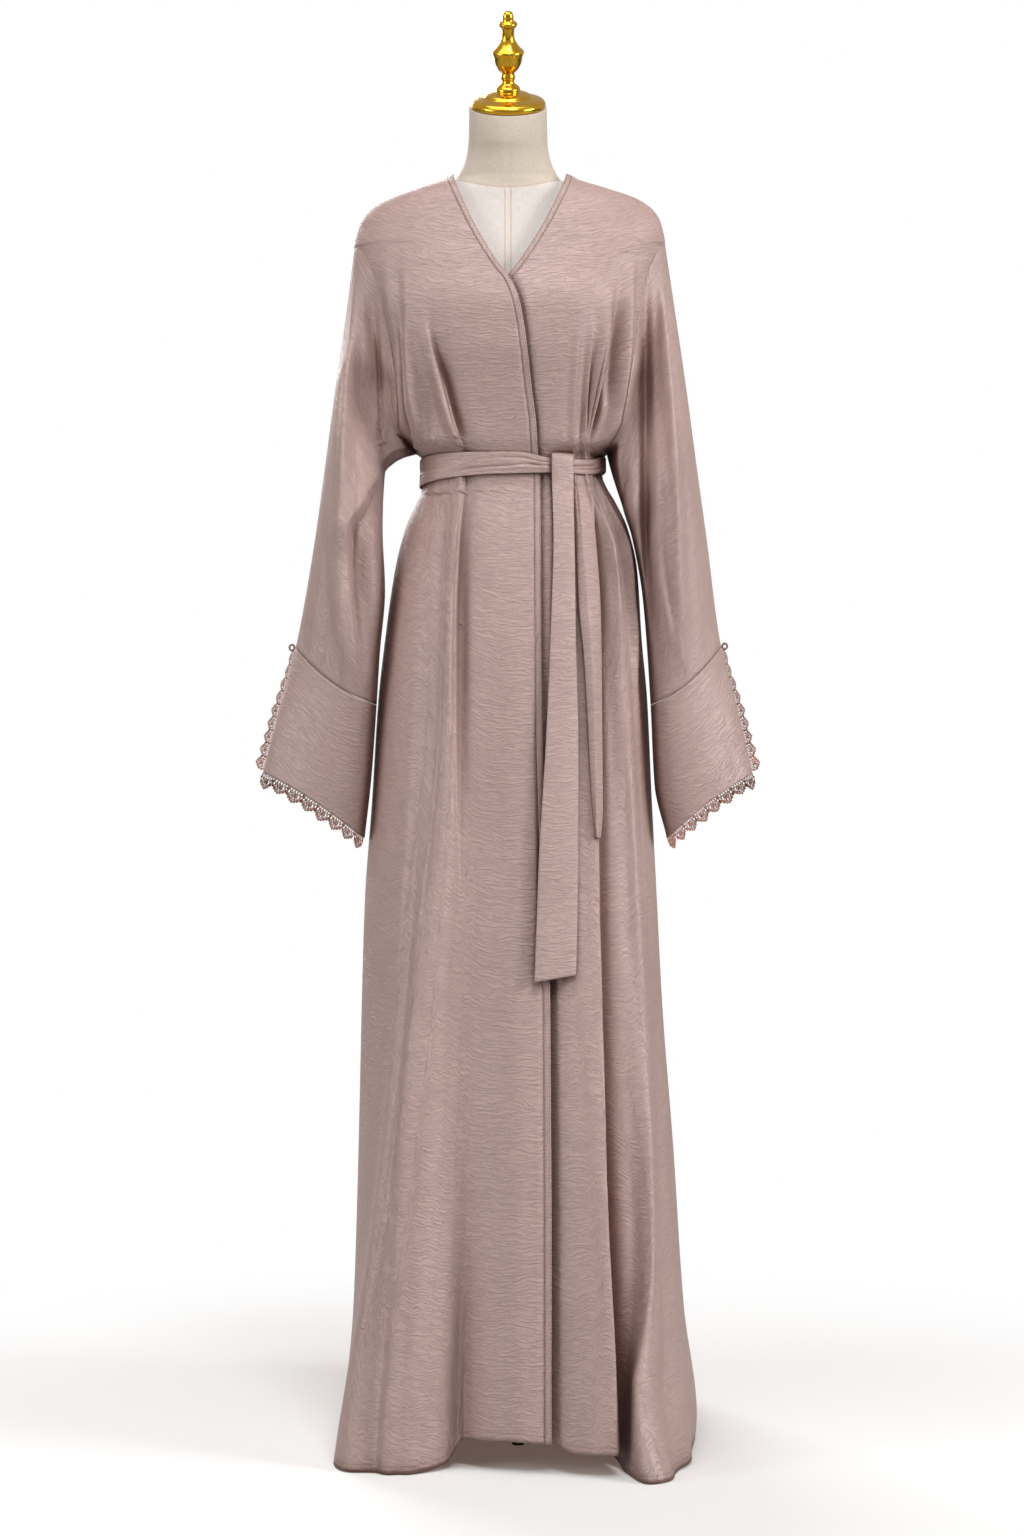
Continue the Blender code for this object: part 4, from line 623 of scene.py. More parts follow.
def sink(angle, z):
    """The under front lies behind the over front's edge and comes forward beside it."""
    edge = section_angle(edge_across(z), z)
    below = smoothstep(1.385, 1.355, z)
    depth = OVERLAP_SINK + (HEM_SINK - OVERLAP_SINK) * smoothstep(1.05, 0.3, z)
    return -depth * (1 - smoothstep(edge + math.radians(1.0), edge + math.radians(4.5), angle)) * below


def spaced(start, end, count, rows):
    """`count` + 1 angles along each row, evenly from start to end."""
    share = np.linspace(0, 1, count + 1)[None, :]
    start, end = np.broadcast_to(start, rows), np.broadcast_to(end, rows)
    return start[:, None] * (1 - share) + end[:, None] * share


def gathered(angles, z, folds):
    """Move a row's columns towards the crests of its folds, between the same two ends."""
    fine = np.linspace(angles[0], angles[-1], 400)
    x, y, _, _ = superellipse(fine, *section(z))
    weight = np.ones_like(fine)
    for one in folds:
        if one["z"].min() - 0.05 < z < one["z"].max() + 0.05:
            near = np.abs(x - float(at(one, "across", z))) / (0.5 * (one["inner"] + one["outer"]) + 0.004)
            weight += 2.2 * np.exp(-(near**2) * 2.5) * min(1.0, abs(float(at(one, "out", z))) / 0.006)
    run = np.concatenate(([0], np.cumsum((weight[1:] + weight[:-1]) / 2 * np.hypot(np.diff(x), np.diff(y)))))
    return np.interp(np.linspace(0, run[-1], len(angles)), run, fine)


def sleeve_row(side, z, share):
    """One ring of a sleeve or cuff.

    Share 0 is its inner (or front armhole) end, 1 its outer end and 2 its last.
    """
    name, sizes = ("right", SLEEVE_RIGHT) if side < 0 else ("left", SLEEVE_LEFT)
    tip = at(sizes, "tip", z)
    outer = at(SLEEVE_OUTER, name, tip)
    if z > UNDERARM - 1e-6:
        ends = [body(side_angle(side, z, face)[0], z) for face in (1, -1)]
    else:
        ends = [np.array((side * at(sizes, "inner", z), -at(sizes, "set", z), z))] * 2
    front_half = share <= 1
    local = np.where(front_half, share, 2 - share)
    closed = 1 - smoothstep(1.08, 1.2, z)
    along = (1 - closed) * np.sin(np.pi * local / 2) + closed * (1 - np.cos(np.pi * local)) / 2
    high = smoothstep(0.98, 1.25, z)
    end_x = np.where(front_half, ends[0][0], ends[1][0]) * side
    end_y = np.where(front_half, ends[0][1], ends[1][1])
    x = end_x + (outer - end_x) * along
    heights = z + (tip - z) * along + at(sizes, "sag", z) * np.sin(np.pi * along)
    fullness = np.where(front_half, -at(sizes, "front", z), at(sizes, "back", z))
    near = 1 - smoothstep(0.0, 0.1, local) * smoothstep(1.3, 1.24, z)
    # round the underarm the cloth hangs by its distance from the body, and passes the notch by
    notch = smoothstep(1.29, 1.22, z) * smoothstep(1.07, 1.12, z)
    upper, lower = at(ARMHOLE, name, 1.26), at(sizes, "inner", 1.1)
    steady = lower + (upper - lower) * (z - 1.1) / 0.16
    beyond = np.clip((x - steady) / (outer - steady), 0, 1)
    turn = (1 - closed) * np.arcsin(beyond) * 2 / np.pi + closed * np.arccos(1 - 2 * beyond) / np.pi
    along, local = along + (beyond - along) * notch, local + (turn - local) * notch
    hump = np.sin(np.pi * local ** (1 + 0.5 * high)) ** (0.75 + 0.5 * high)
    # the armhole closes in a short way, which only the cloth beside it follows
    calm = body(side_angle(side, max(z, 1.2), 1)[0], z)[1] * smoothstep(1.12, 1.24, z)
    calm = calm * np.where(front_half, 1, -0.7) - at(sizes, "set", z)
    full = smoothstep(1.06, 1.16, z) * (1 - smoothstep(1.23, 1.31, z))
    calm = calm + (np.where(front_half, CALM_FRONT[name], CALM_BACK) - calm) * full
    y = (calm + (end_y - calm) * near) * (1 - along) + fullness * hump
    if z > 1.22:
        # near the shoulder the sleeve goes on in the curve of the body's own section
        front_turn, rear_turn = side_angle(side, z, 1)[0], side_angle(side, z, -1)[0]
        start = np.where(front_half, front_turn, rear_turn)
        own = body(start * (1 - local) + side * math.pi / 2 * local, z)
        reach = abs(float(body(side * math.pi / 2, z)[0]))
        own_along = (own[:, 0] * side - end_x) / np.maximum(reach - end_x, 1e-4)
        share_of_body = smoothstep(1.22, 1.41, z)
        x = x + (end_x + (outer - end_x) * np.clip(own_along, 0, 1) - x) * share_of_body
        y = y + (own[:, 1] - y) * share_of_body
    folds = SLEEVE_RIGHT_FRONT + FINE_SLEEVE_RIGHT if side < 0 else SLEEVE_LEFT_FRONT + FINE_SLEEVE_LEFT
    for own, facing, mask in ((folds, -1, front_half), (SLEEVE_BACK + FINE_SLEEVE_BACK, 1, ~front_half)):
        rise = np.zeros_like(x)
        for one in own:
            hill = bump(x - at(one, "across", heights), one["inner"], one["outer"])
            rise += at(one, "out", heights) * hill
        fade = np.sin(np.pi * local) ** 0.5 * smoothstep(0.84, 0.92, z)
        y = y + np.where(mask, facing * rise * fade, 0)
    return np.stack((side * x, y, heights), -1)


# ---- rows and columns of the drawn cloth


def rows_down(*stops):
    """Heights from stop to stop, each stop given with the count of rows after it."""
    heights = [np.linspace(a, b, count, endpoint=False) for (a, count), (b, _) in zip(stops, stops[1:])]
    return np.concatenate(heights + [[stops[-1][0]]])


ARM_ROWS = rows_down((1.4155, 56), (UNDERARM, 0))
PANEL_ROWS = np.concatenate((
    rows_down((SHOULDER_TOP, 22), (1.4156, 1), (1.4155, 0))[:-1], ARM_ROWS,
    rows_down((UNDERARM, 14), (1.135, 26), (1.02, 60), (0.55, 50), (0.12, 22), (0.0006, 0))[1:],
))
SLEEVE_ROWS = np.concatenate((ARM_ROWS, rows_down((UNDERARM, 34), (1.02, 34), (CUFF_SEAM + SEAM, 0))[1:]))
CUFF_ROWS = rows_down((CUFF_SEAM - SEAM, 46), (CUFF_HEM, 0))
FRONT_COLUMNS = 128
UNDER_COLUMNS = 150
BACK_COLUMNS = 140
SLEEVE_COLUMNS = 108
SOLID_SLEEVE_COLUMNS = 18


def over_front():
    """The right front: from its side seam across to the binding."""
    z = PANEL_ROWS
    angles = spaced(side_angle(-1, z, 1), section_angle(edge_across(z, BAND_WIDTH), z), FRONT_COLUMNS, len(z))
    angles = np.array([gathered(row, h, WHOLE_FRONT) for row, h in zip(angles, z)])
    return body(angles, hem_height(angles, z[:, None]))


def under_front():
    """The left front: from its hidden edge across to its side seam."""
    z = PANEL_ROWS
    start = section_angle(under_edge_across(z, BAND_WIDTH), z)
    angles = spaced(start, side_angle(1, z, 1), UNDER_COLUMNS, len(z))
    angles = np.array([gathered(row, h, WHOLE_FRONT) for row, h in zip(angles, z)])
    height = np.broadcast_to(z[:, None], angles.shape)
    return body(angles, hem_height(angles, height), sink(angles, height))


def back():
    """The back: from the left side round to the right side."""
    z = PANEL_ROWS
    start = side_angle(1, z, -1)
    end = side_angle(-1, z, -1) % (2 * math.pi)
    angles = spaced(start, end, BACK_COLUMNS, len(z))
    height = z[:, None] - back_neck_dip(angles) * smoothstep(1.4, 1.4975, z[:, None])
    return body(angles, hem_height(angles, height))


def back_neck_dip(angle):
    """How far the back neckline lies below the shoulder line at an angle."""
    return BACK_NECK_DROP * np.clip(-np.cos(angle), 0, 1) ** 0.8


def band(edge, lift):
    """A binding from the neck point down a front edge to the hem, a little plump across its width."""
    z = PANEL_ROWS
    outer_z = z + smoothstep(1.45, SHOULDER_TOP, z) * (NECK_POINT - SHOULDER_TOP)
    inner_angle = section_angle(edge(z, BAND_WIDTH - SEAM), z)
    outer_angle = section_angle(edge(outer_z), outer_z)
    share = np.linspace(0, 1, 7)[None, :]
    angles = inner_angle[:, None] * (1 - share) + outer_angle[:, None] * share
    heights = z[:, None] * (1 - share) + outer_z[:, None] * share
    plump = BAND_PLUMP * np.sin(np.pi * np.clip(share * 1.15, 0, 1)) ** 0.6
    return body(angles, hem_height(angles, heights), lift(angles, heights) + plump)


def no_lift(angles, heights):
    """The over front lies on the body surface itself."""
    return np.zeros_like(angles)


def neck_band():
    """The binding's run round the back of the neck."""
    angles = np.linspace(math.pi / 2, 1.5 * math.pi, 97)
    rows = []
    for share in np.linspace(0, 1, 7):
        z = SHOULDER_TOP - back_neck_dip(angles) + share * (BAND_WIDTH - 0.0025 * np.abs(np.sin(angles)))
        rows.append(body(angles, np.minimum(z, NECK_POINT + 0.002), 0.0005 * math.sin(math.pi * share)))
    return np.array(rows)[::-1]


def sleeve(side):
    """The sleeve from the armhole seam to the cuff seam; its rings close below the underarm."""
    share = np.linspace(0, 2, SLEEVE_COLUMNS + 1)
    return np.array([sleeve_row(side, z, share) for z in SLEEVE_ROWS])


def cuff(side, heights=CUFF_ROWS):
    """The cuff, open at its outer slit: its columns run from the slit round the inner side and back."""
    half = SLEEVE_COLUMNS // 2 + 1
    share = np.concatenate((np.linspace(1, 0, half), np.linspace(2, 1, half)[1:]))
    place = np.arange(len(share)) * SOLID_SLEEVE_COLUMNS / SLEEVE_COLUMNS
    front = np.clip(1 - place / 3, 0, 1)
    rear = np.clip(1 - (SOLID_SLEEVE_COLUMNS - place) / 3, 0, 1)
    rows = []
    for z in heights:
        row = sleeve_row(side, z, share)
        row[:, 1] += SLIT_GAPE * smoothstep(CUFF_SEAM, CUFF_HEM, z) * (rear - front)
        rows.append(row)
    return np.array(rows)


# ---- belt shapes


def plain_body(angle, z, lift):
    """The body section without its folds, moved out by `lift`; above the belt it keeps the belt's section."""
    level = np.minimum(z, BELT_LEVEL)
    x, y, nx, ny = superellipse(angle, *section(level))
    return np.stack(np.broadcast_arrays(x + nx * lift, y + ny * lift, z), -1)


def belt_wrap():
    """The belt round the waist, a closed ring, with the creases that its knot pulls into it."""
    degrees = np.linspace(-180, 180, 241)
    angles = np.radians(degrees)
    share = np.linspace(1.0, 0.0, 29)[:, None]
    top, bottom = at(BELT, "top", degrees, "angle"), at(BELT, "bottom", degrees, "angle")
    lift = at(BELT, "lift", degrees, "angle")[None, :] + np.zeros_like(share)
    for first, last, low, high, depth, width in BELT_CREASES:
        along = (degrees - first) / (last - first)
        path = low + (high - low) * along
        fade = smoothstep(0, 0.25, along) * (1 - smoothstep(0.86, 1.0, along))
        lift = lift + depth * fade * np.exp(-(((share - path) / width) ** 2))
    lift = lift - 0.5 * np.abs(2 * share - 1) ** 8
    return plain_body(angles[None, :], bottom + (top - bottom) * share, lift / 1000)


def belt_end(rows, count, columns, crease=0.0, ripple=0.0):
    """A hanging or looped end of the belt, creased lengthwise by `crease`, with soft ripples."""
    stored = len(rows["z"])
    keyed = dict(rows, step=np.arange(stored, dtype=float))
    step = np.linspace(0, stored - 1, count)
    left, right, z, tilt, lift = (
        at(keyed, name, step, "step")[:, None] / 1000 for name in ("left", "right", "z", "tilt", "lift")
    )
    share = np.linspace(0, 1, columns + 1)[None, :]
    across = left + (right - left) * share
    height = z + tilt * share
    ridge = 0.36 + 0.1 * np.sin(height * 9.0)
    hill = np.minimum(share / ridge, (1 - share) / (1 - ridge))
    out = lift + crease * (hill - 0.5) * np.clip((step[:, None] - 1) / 2, 0, 1)
    down = 1.12 - height
    wave = np.sin(down * 21 + 0.6) * 0.6 + np.sin(down * 47 + 2.1 * share) * 0.4
    out = out + ripple * wave * smoothstep(0.05, 0.25, down)
    level = np.minimum(height, BELT_LEVEL)
    angle = section_angle(across, level)
    flat = np.zeros_like(out)
    for _ in range(4):
        reach = plain_body(angle, height, out)[..., 0] - plain_body(angle, height, flat)[..., 0]
        angle = section_angle(across - reach, level)
    return plain_body(angle, height, out)


# ---- meshes


def grid_faces(rows, columns):
    """Quads of a grid whose rows run down and whose columns run to the wearer's left, facing outwards."""
    index = np.arange(rows * columns).reshape(rows, columns)
    corners = (index[:-1, :-1], index[1:, :-1], index[1:, 1:], index[:-1, 1:])
    return np.stack(corners, -1).reshape(-1, 4)


def cloth_map(grid, slope=0.0):
    """Cloth coordinates in metres: the run along each row from its middle, and the run down each column."""
    across = np.linalg.norm(np.diff(grid, axis=1), axis=2)
    # steps down count only square to the row, so that a row's sideways shift doesn't stretch the cloth
    along = np.gradient(grid, axis=1)
    along = (along / np.maximum(np.linalg.norm(along, axis=2), 1e-9)[..., None])[1:]
    steps = np.diff(grid, axis=0)
    down = np.linalg.norm(steps - (steps * along).sum(2)[..., None] * along, axis=2)
    u = np.concatenate((np.zeros((len(grid), 1)), np.cumsum(across, 1)), 1)
    u = u - u[:, u.shape[1] // 2][:, None]
    v = np.concatenate((np.zeros((1, grid.shape[1])), np.cumsum(down, 0)), 0)
    return np.stack((u, -v + slope * u), -1)


def mesh_object(name, points, faces, material, uv=None, smooth=True):
    """A mesh piece in the scene's collection."""
    data = bpy.data.meshes.new(name)
    data.from_pydata(np.asarray(points, float).reshape(-1, 3).tolist(), [],
            [list(map(int, f)) for f in faces])
    if uv is not None:
        layer = data.uv_layers.new(name="cloth")
        loops = np.concatenate([np.asarray(f) for f in faces])
        layer.data.foreach_set("uv", np.asarray(uv).reshape(-1, 2)[loops].ravel())
    if smooth:
        data.shade_smooth()
    data.materials.append(material)
    piece = bpy.data.objects.new(name, data)
    bpy.context.scene.collection.objects.link(piece)
    return piece


def cloth_piece(name, grid, material, thickness, uv, closed=False):
    """A thin shell of cloth over a grid of points, with its edges turned."""
    piece = mesh_object(name, grid, grid_faces(*grid.shape[:2]), material, uv)
    if closed:
        weld(piece)
    shell = piece.modifiers.new("cloth thickness", "SOLIDIFY")
    shell.thickness = thickness
    shell.offset = 0.0
    shell.use_rim = True
    return piece


def weld(piece, distance=0.00002):
    """Join points of a piece that lie together."""
    mesh = bmesh.new()
    mesh.from_mesh(piece.data)
    bmesh.ops.remove_doubles(mesh, verts=mesh.verts, dist=distance)
    mesh.to_mesh(piece.data)
    mesh.free()
    piece.data.shade_smooth()


def tube(path, radius, sides=6, closed=False):
    """Points and faces of a round strand along a path; `radius` is one number or one for each point."""
    path = np.asarray(path, float)
    count = len(path)
    if closed:
        ahead, behind = np.roll(path, -1, 0), np.roll(path, 1, 0)
    else:
        ahead, behind = np.vstack((path[1:], path[-1:])), np.vstack((path[:1], path[:-1]))
    tangent = ahead - behind
    tangent /= np.linalg.norm(tangent, axis=1)[:, None]
    reference = np.array((0.0, 0.0, 1.0)) if abs(tangent[0][2]) < 0.9 else np.array((1.0, 0.0, 0.0))
    side = np.cross(tangent[0], reference)
    sides_at = []
    for t in tangent:
        side = side - t * (side @ t)
        side = side / np.linalg.norm(side)
        sides_at.append(side)
    side = np.array(sides_at)
    up = np.cross(side, tangent)
    radius = np.broadcast_to(np.asarray(radius, float), (count,))[:, None, None]
    turn = np.linspace(0, 2 * math.pi, sides, endpoint=False)
    points = path[:, None] + radius * (
        np.cos(turn)[None, :, None] * side[:, None] + np.sin(turn)[None, :, None] * up[:, None]
    )
    index = np.arange(count * sides).reshape(count, sides)
    faces = []
    for i in range(count if closed else count - 1):
        j = (i + 1) % count
        for k in range(sides):
            n = (k + 1) % sides
            faces.append((index[i, k], index[i, n], index[j, n], index[j, k]))
    if not closed:
        faces.append(tuple(index[0][::-1]))
        faces.append(tuple(index[-1]))
    return points.reshape(-1, 3), faces


def joined(parts):
    """Several (points, faces) pairs as one."""
    points, faces, start = [], [], 0
    for part_points, part_faces in parts:
        points.append(part_points)
        faces += [tuple(i + start for i in face) for face in part_faces]
        start += len(part_points)
    return np.concatenate(points), faces


def turned(profile, steps):
    """Points and faces of a shape turned about the Z axis from a profile of (radius, height), tip first."""
    profile = [(max(r, 0.0), h) for r, h in profile]
    inner = [p for p in profile if p[0] > 1e-7]
    angles = np.linspace(0, 2 * math.pi, steps, endpoint=False)
    rings = [np.stack((r * np.cos(angles), r * np.sin(angles), np.full(steps, h)), -1) for r, h in inner]
    points = np.concatenate(rings)
    faces = []
    for i in range(len(rings) - 1):
        for k in range(steps):
            n = (k + 1) % steps
            faces.append((i * steps + k, (i + 1) * steps + k, (i + 1) * steps + n, i * steps + n))
    for end, first in ((profile[0], 0), (profile[-1], (len(rings) - 1) * steps)):
        tip = len(points)
        points = np.vstack((points, [(0, 0, end[1])]))
        for k in range(steps):
            n = (k + 1) % steps
            faces.append((tip, first + k, first + n) if first == 0 else (tip, first + n, first + k))
    return points, faces


def rounded(profile):
    """A profile with its corners cut again and again, so that it turns softly."""
    points = np.array(profile, float)
    for _ in range(2):
        ends = points[:1], points[-1:]
        early = points[:-1] * 0.78 + points[1:] * 0.22
        late = points[:-1] * 0.22 + points[1:] * 0.78
        middle = np.stack((early, late), 1).reshape(-1, 2)
        points = np.concatenate((ends[0], middle[1:-1], ends[1]))
    return [tuple(p) for p in points]


# ---- materials


def linear(text):
    """An sRGB hex colour as a linear colour with alpha."""
    values = [int(text[i:i + 2], 16) / 255 for i in (1, 3, 5)]
    return tuple(v / 12.92 if v <= 0.04045 else ((v + 0.055) / 1.055) ** 2.4 for v in values) + (1.0,)


def add(tree, kind, settings=None, sockets=None):
    """Add a node with its settings; a socket takes a value, or another node's output to link."""
    node = tree.nodes.new(kind)
    for name, value in (settings or {}).items():
        setattr(node, name, value)
    for name, value in (sockets or {}).items():
        if isinstance(value, bpy.types.NodeSocket):
            tree.links.new(value, node.inputs[name])
        else:
            node.inputs[name].default_value = value
    return node


def new_material(name):
    """An empty node material and its shader node."""
    material = bpy.data.materials.new(name)
    material.use_nodes = True
    return material, material.node_tree, material.node_tree.nodes["Principled BSDF"]


def crepe(settings):
    """Dusty rose satin crepe, woven and crinkled: fine wavy crinkles and a soft, low sheen on the folds."""
    material, tree, shader = new_material("dusty rose satin crepe")
    cloth = add(tree, "ShaderNodeUVMap", {"uv_map": "cloth"}).outputs["UV"]
    # slow waves bend the crinkles up and down by a few millimetres, over about 60 mm
    slow = add(tree, "ShaderNodeTexNoise", {"noise_dimensions": "2D"},
            {"Vector": cloth, "Scale": 16.0, "Detail": 2.0, "Roughness": 0.5})
    bend = add(tree, "ShaderNodeVectorMath", {"operation": "SUBTRACT"},
            {0: slow.outputs["Color"], 1: (0.5, 0.5, 0.5)})
    warp = add(tree, "ShaderNodeVectorMath", {"operation": "MULTIPLY_ADD"},
            {0: bend.outputs[0], 1: (0.004, 0.02, 0.0), 2: cloth})
    # a crinkle is about 30 mm long and 5 mm from the next, two cells of a noise of 18 by 2.9 mm
    size = settings.crinkle_pitch
    crinkle = add(tree, "ShaderNodeVectorMath", {"operation": "MULTIPLY"},
            {0: warp.outputs[0], 1: (0.16 / size, 1 / size, 0.0)})
    waves = add(tree, "ShaderNodeTexNoise", {"noise_dimensions": "2D"},
            {"Vector": crinkle.outputs[0], "Scale": 1.0, "Detail": 2.5, "Roughness": 0.55, "Distortion": 0.6})
    away = add(tree, "ShaderNodeMath", {"operation": "SUBTRACT"}, {0: waves.outputs["Fac"], 1: 0.5})
    size_of = add(tree, "ShaderNodeMath", {"operation": "ABSOLUTE"}, {0: away.outputs[0]})
    line = add(tree, "ShaderNodeMapRange", {"interpolation_type": "SMOOTHSTEP"},
            {"Value": size_of.outputs[0], "From Min": 0.0, "From Max": 0.07, "To Min": 0.0, "To Max": 1.0})
    # threads are 0.25 mm apart, drawn at 0.9 mm so that they show
    weave = add(tree, "ShaderNodeTexNoise", {"noise_dimensions": "2D"},
            {"Vector": cloth, "Scale": 1100.0, "Detail": 1.0, "Roughness": 0.5})
    patch = add(tree, "ShaderNodeTexNoise", {"noise_dimensions": "2D"},
            {"Vector": cloth, "Scale": 9.0, "Detail": 3.0, "Roughness": 0.6})
    tone = add(tree, "ShaderNodeMix", {"data_type": "RGBA"},
            {0: patch.outputs["Fac"], 6: settings.shade, 7: settings.colour})
    # painted shade: the crinkles' grooves are darkened in the base colour, down to 0.86 of it, along the
    # lines that the bump also lowers
    crease = add(tree, "ShaderNodeMapRange", {},
            {"Value": line.outputs[0], "From Min": 0.0, "From Max": 1.0, "To Min": 0.86, "To Max": 1.03})
    thread = add(tree, "ShaderNodeMapRange", {},
            {"Value": weave.outputs["Fac"], "From Min": 0.2, "From Max": 0.8, "To Min": 0.96, "To Max": 1.04})
    # painted shade: ambient occlusion darkens the base colour towards a warm, dark fold colour in folds,
    # recesses and under neighbouring pieces
    fold_occlusion = add(tree, "ShaderNodeAmbientOcclusion", {"samples": 8}, {"Distance": 0.03})
    fold_shade_mask = add(tree, "ShaderNodeMapRange", {"interpolation_type": "SMOOTHSTEP"},
            {"Value": fold_occlusion.outputs["AO"], "From Min": 0.4, "From Max": 0.96})
    tone = add(tree, "ShaderNodeMix", {"data_type": "RGBA"},
            {0: fold_shade_mask.outputs[0], 6: settings.painted_fold_shade, 7: tone.outputs[2]})
    depth = add(tree, "ShaderNodeMath", {"operation": "MULTIPLY"},
            {0: crease.outputs[0], 1: thread.outputs[0]})
    colour = add(tree, "ShaderNodeVectorMath", {"operation": "SCALE"},
            {0: tone.outputs[2], "Scale": depth.outputs[0]})
    first = add(tree, "ShaderNodeBump", {},
            {"Height": waves.outputs["Fac"], "Strength": 0.85, "Distance": settings.crinkle_depth})
    second = add(tree, "ShaderNodeBump", {},
            {"Height": line.outputs[0], "Strength": 0.5, "Distance": settings.crinkle_depth * 0.22,
            "Normal": first.outputs[0]})
    third = add(tree, "ShaderNodeBump", {},
            {"Height": weave.outputs["Fac"], "Strength": 0.35, "Distance": 0.00012,
            "Normal": second.outputs[0]})
    rough = add(tree, "ShaderNodeMapRange", {},
            {"Value": weave.outputs["Fac"], "From Min": 0.2, "From Max": 0.8,
            "To Min": settings.roughness - 0.06, "To Max": settings.roughness + 0.06})
    tree.links.new(colour.outputs[0], shader.inputs["Base Color"])
    tree.links.new(rough.outputs[0], shader.inputs["Roughness"])
    tree.links.new(third.outputs[0], shader.inputs["Normal"])
    shader.inputs["Specular IOR Level"].default_value = 0.85
    shader.inputs["Sheen Weight"].default_value = 0.12
    shader.inputs["Sheen Roughness"].default_value = 0.45
    shader.inputs["Sheen Tint"].default_value = linear("#E6D3CD")
    return material


def lace_cotton(settings):
    """Guipure lace, embroidered in matt cotton: thick soft strands that catch no gloss."""
    material, tree, shader = new_material("guipure lace, embroidered cotton")
    place = add(tree, "ShaderNodeTexCoord").outputs["Object"]
    # the thread's twist is 0.3 mm long, drawn at 0.8 mm
    twist = add(tree, "ShaderNodeTexNoise", {}, {"Vector": place, "Scale": 1250.0, "Detail": 1.0})
    cloud = add(tree, "ShaderNodeTexNoise", {}, {"Vector": place, "Scale": 60.0, "Detail": 2.0})
    tone = add(tree, "ShaderNodeMix", {"data_type": "RGBA"},
            {0: cloud.outputs["Fac"], 6: settings.shade, 7: settings.colour})
    depth = add(tree, "ShaderNodeMapRange", {},
            {"Value": twist.outputs["Fac"], "From Min": 0.2, "From Max": 0.8, "To Min": 0.82, "To Max": 1.08})
    colour = add(tree, "ShaderNodeVectorMath", {"operation": "SCALE"},
            {0: tone.outputs[2], "Scale": depth.outputs[0]})
    bump = add(tree, "ShaderNodeBump", {},
            {"Height": twist.outputs["Fac"], "Strength": 0.6, "Distance": 0.0003})
    tree.links.new(colour.outputs[0], shader.inputs["Base Color"])
    tree.links.new(bump.outputs[0], shader.inputs["Normal"])
    shader.inputs["Roughness"].default_value = 0.78
    shader.inputs["Specular IOR Level"].default_value = 0.3
    shader.inputs["Sheen Weight"].default_value = 0.15
    return material


def sewing_thread(settings):
    """Polyester sewing thread, twisted: a fine line with a soft shine. Its colour is darker than the cloth:
    partly the thread's own, partly painted shade of the stitch line's groove.
    """
    material, tree, shader = new_material("polyester sewing thread, twisted")
    place = add(tree, "ShaderNodeTexCoord").outputs["Object"]
    # the thread's twist is 0.3 mm long, drawn at 1.1 mm
    twist = add(tree, "ShaderNodeTexNoise", {}, {"Vector": place, "Scale": 900.0, "Detail": 1.0})
    bump = add(tree, "ShaderNodeBump", {},
            {"Height": twist.outputs["Fac"], "Strength": 0.4, "Distance": 0.0002})
    tree.links.new(bump.outputs[0], shader.inputs["Normal"])
    shader.inputs["Base Color"].default_value = settings.colour
    shader.inputs["Roughness"].default_value = 0.6
    return material


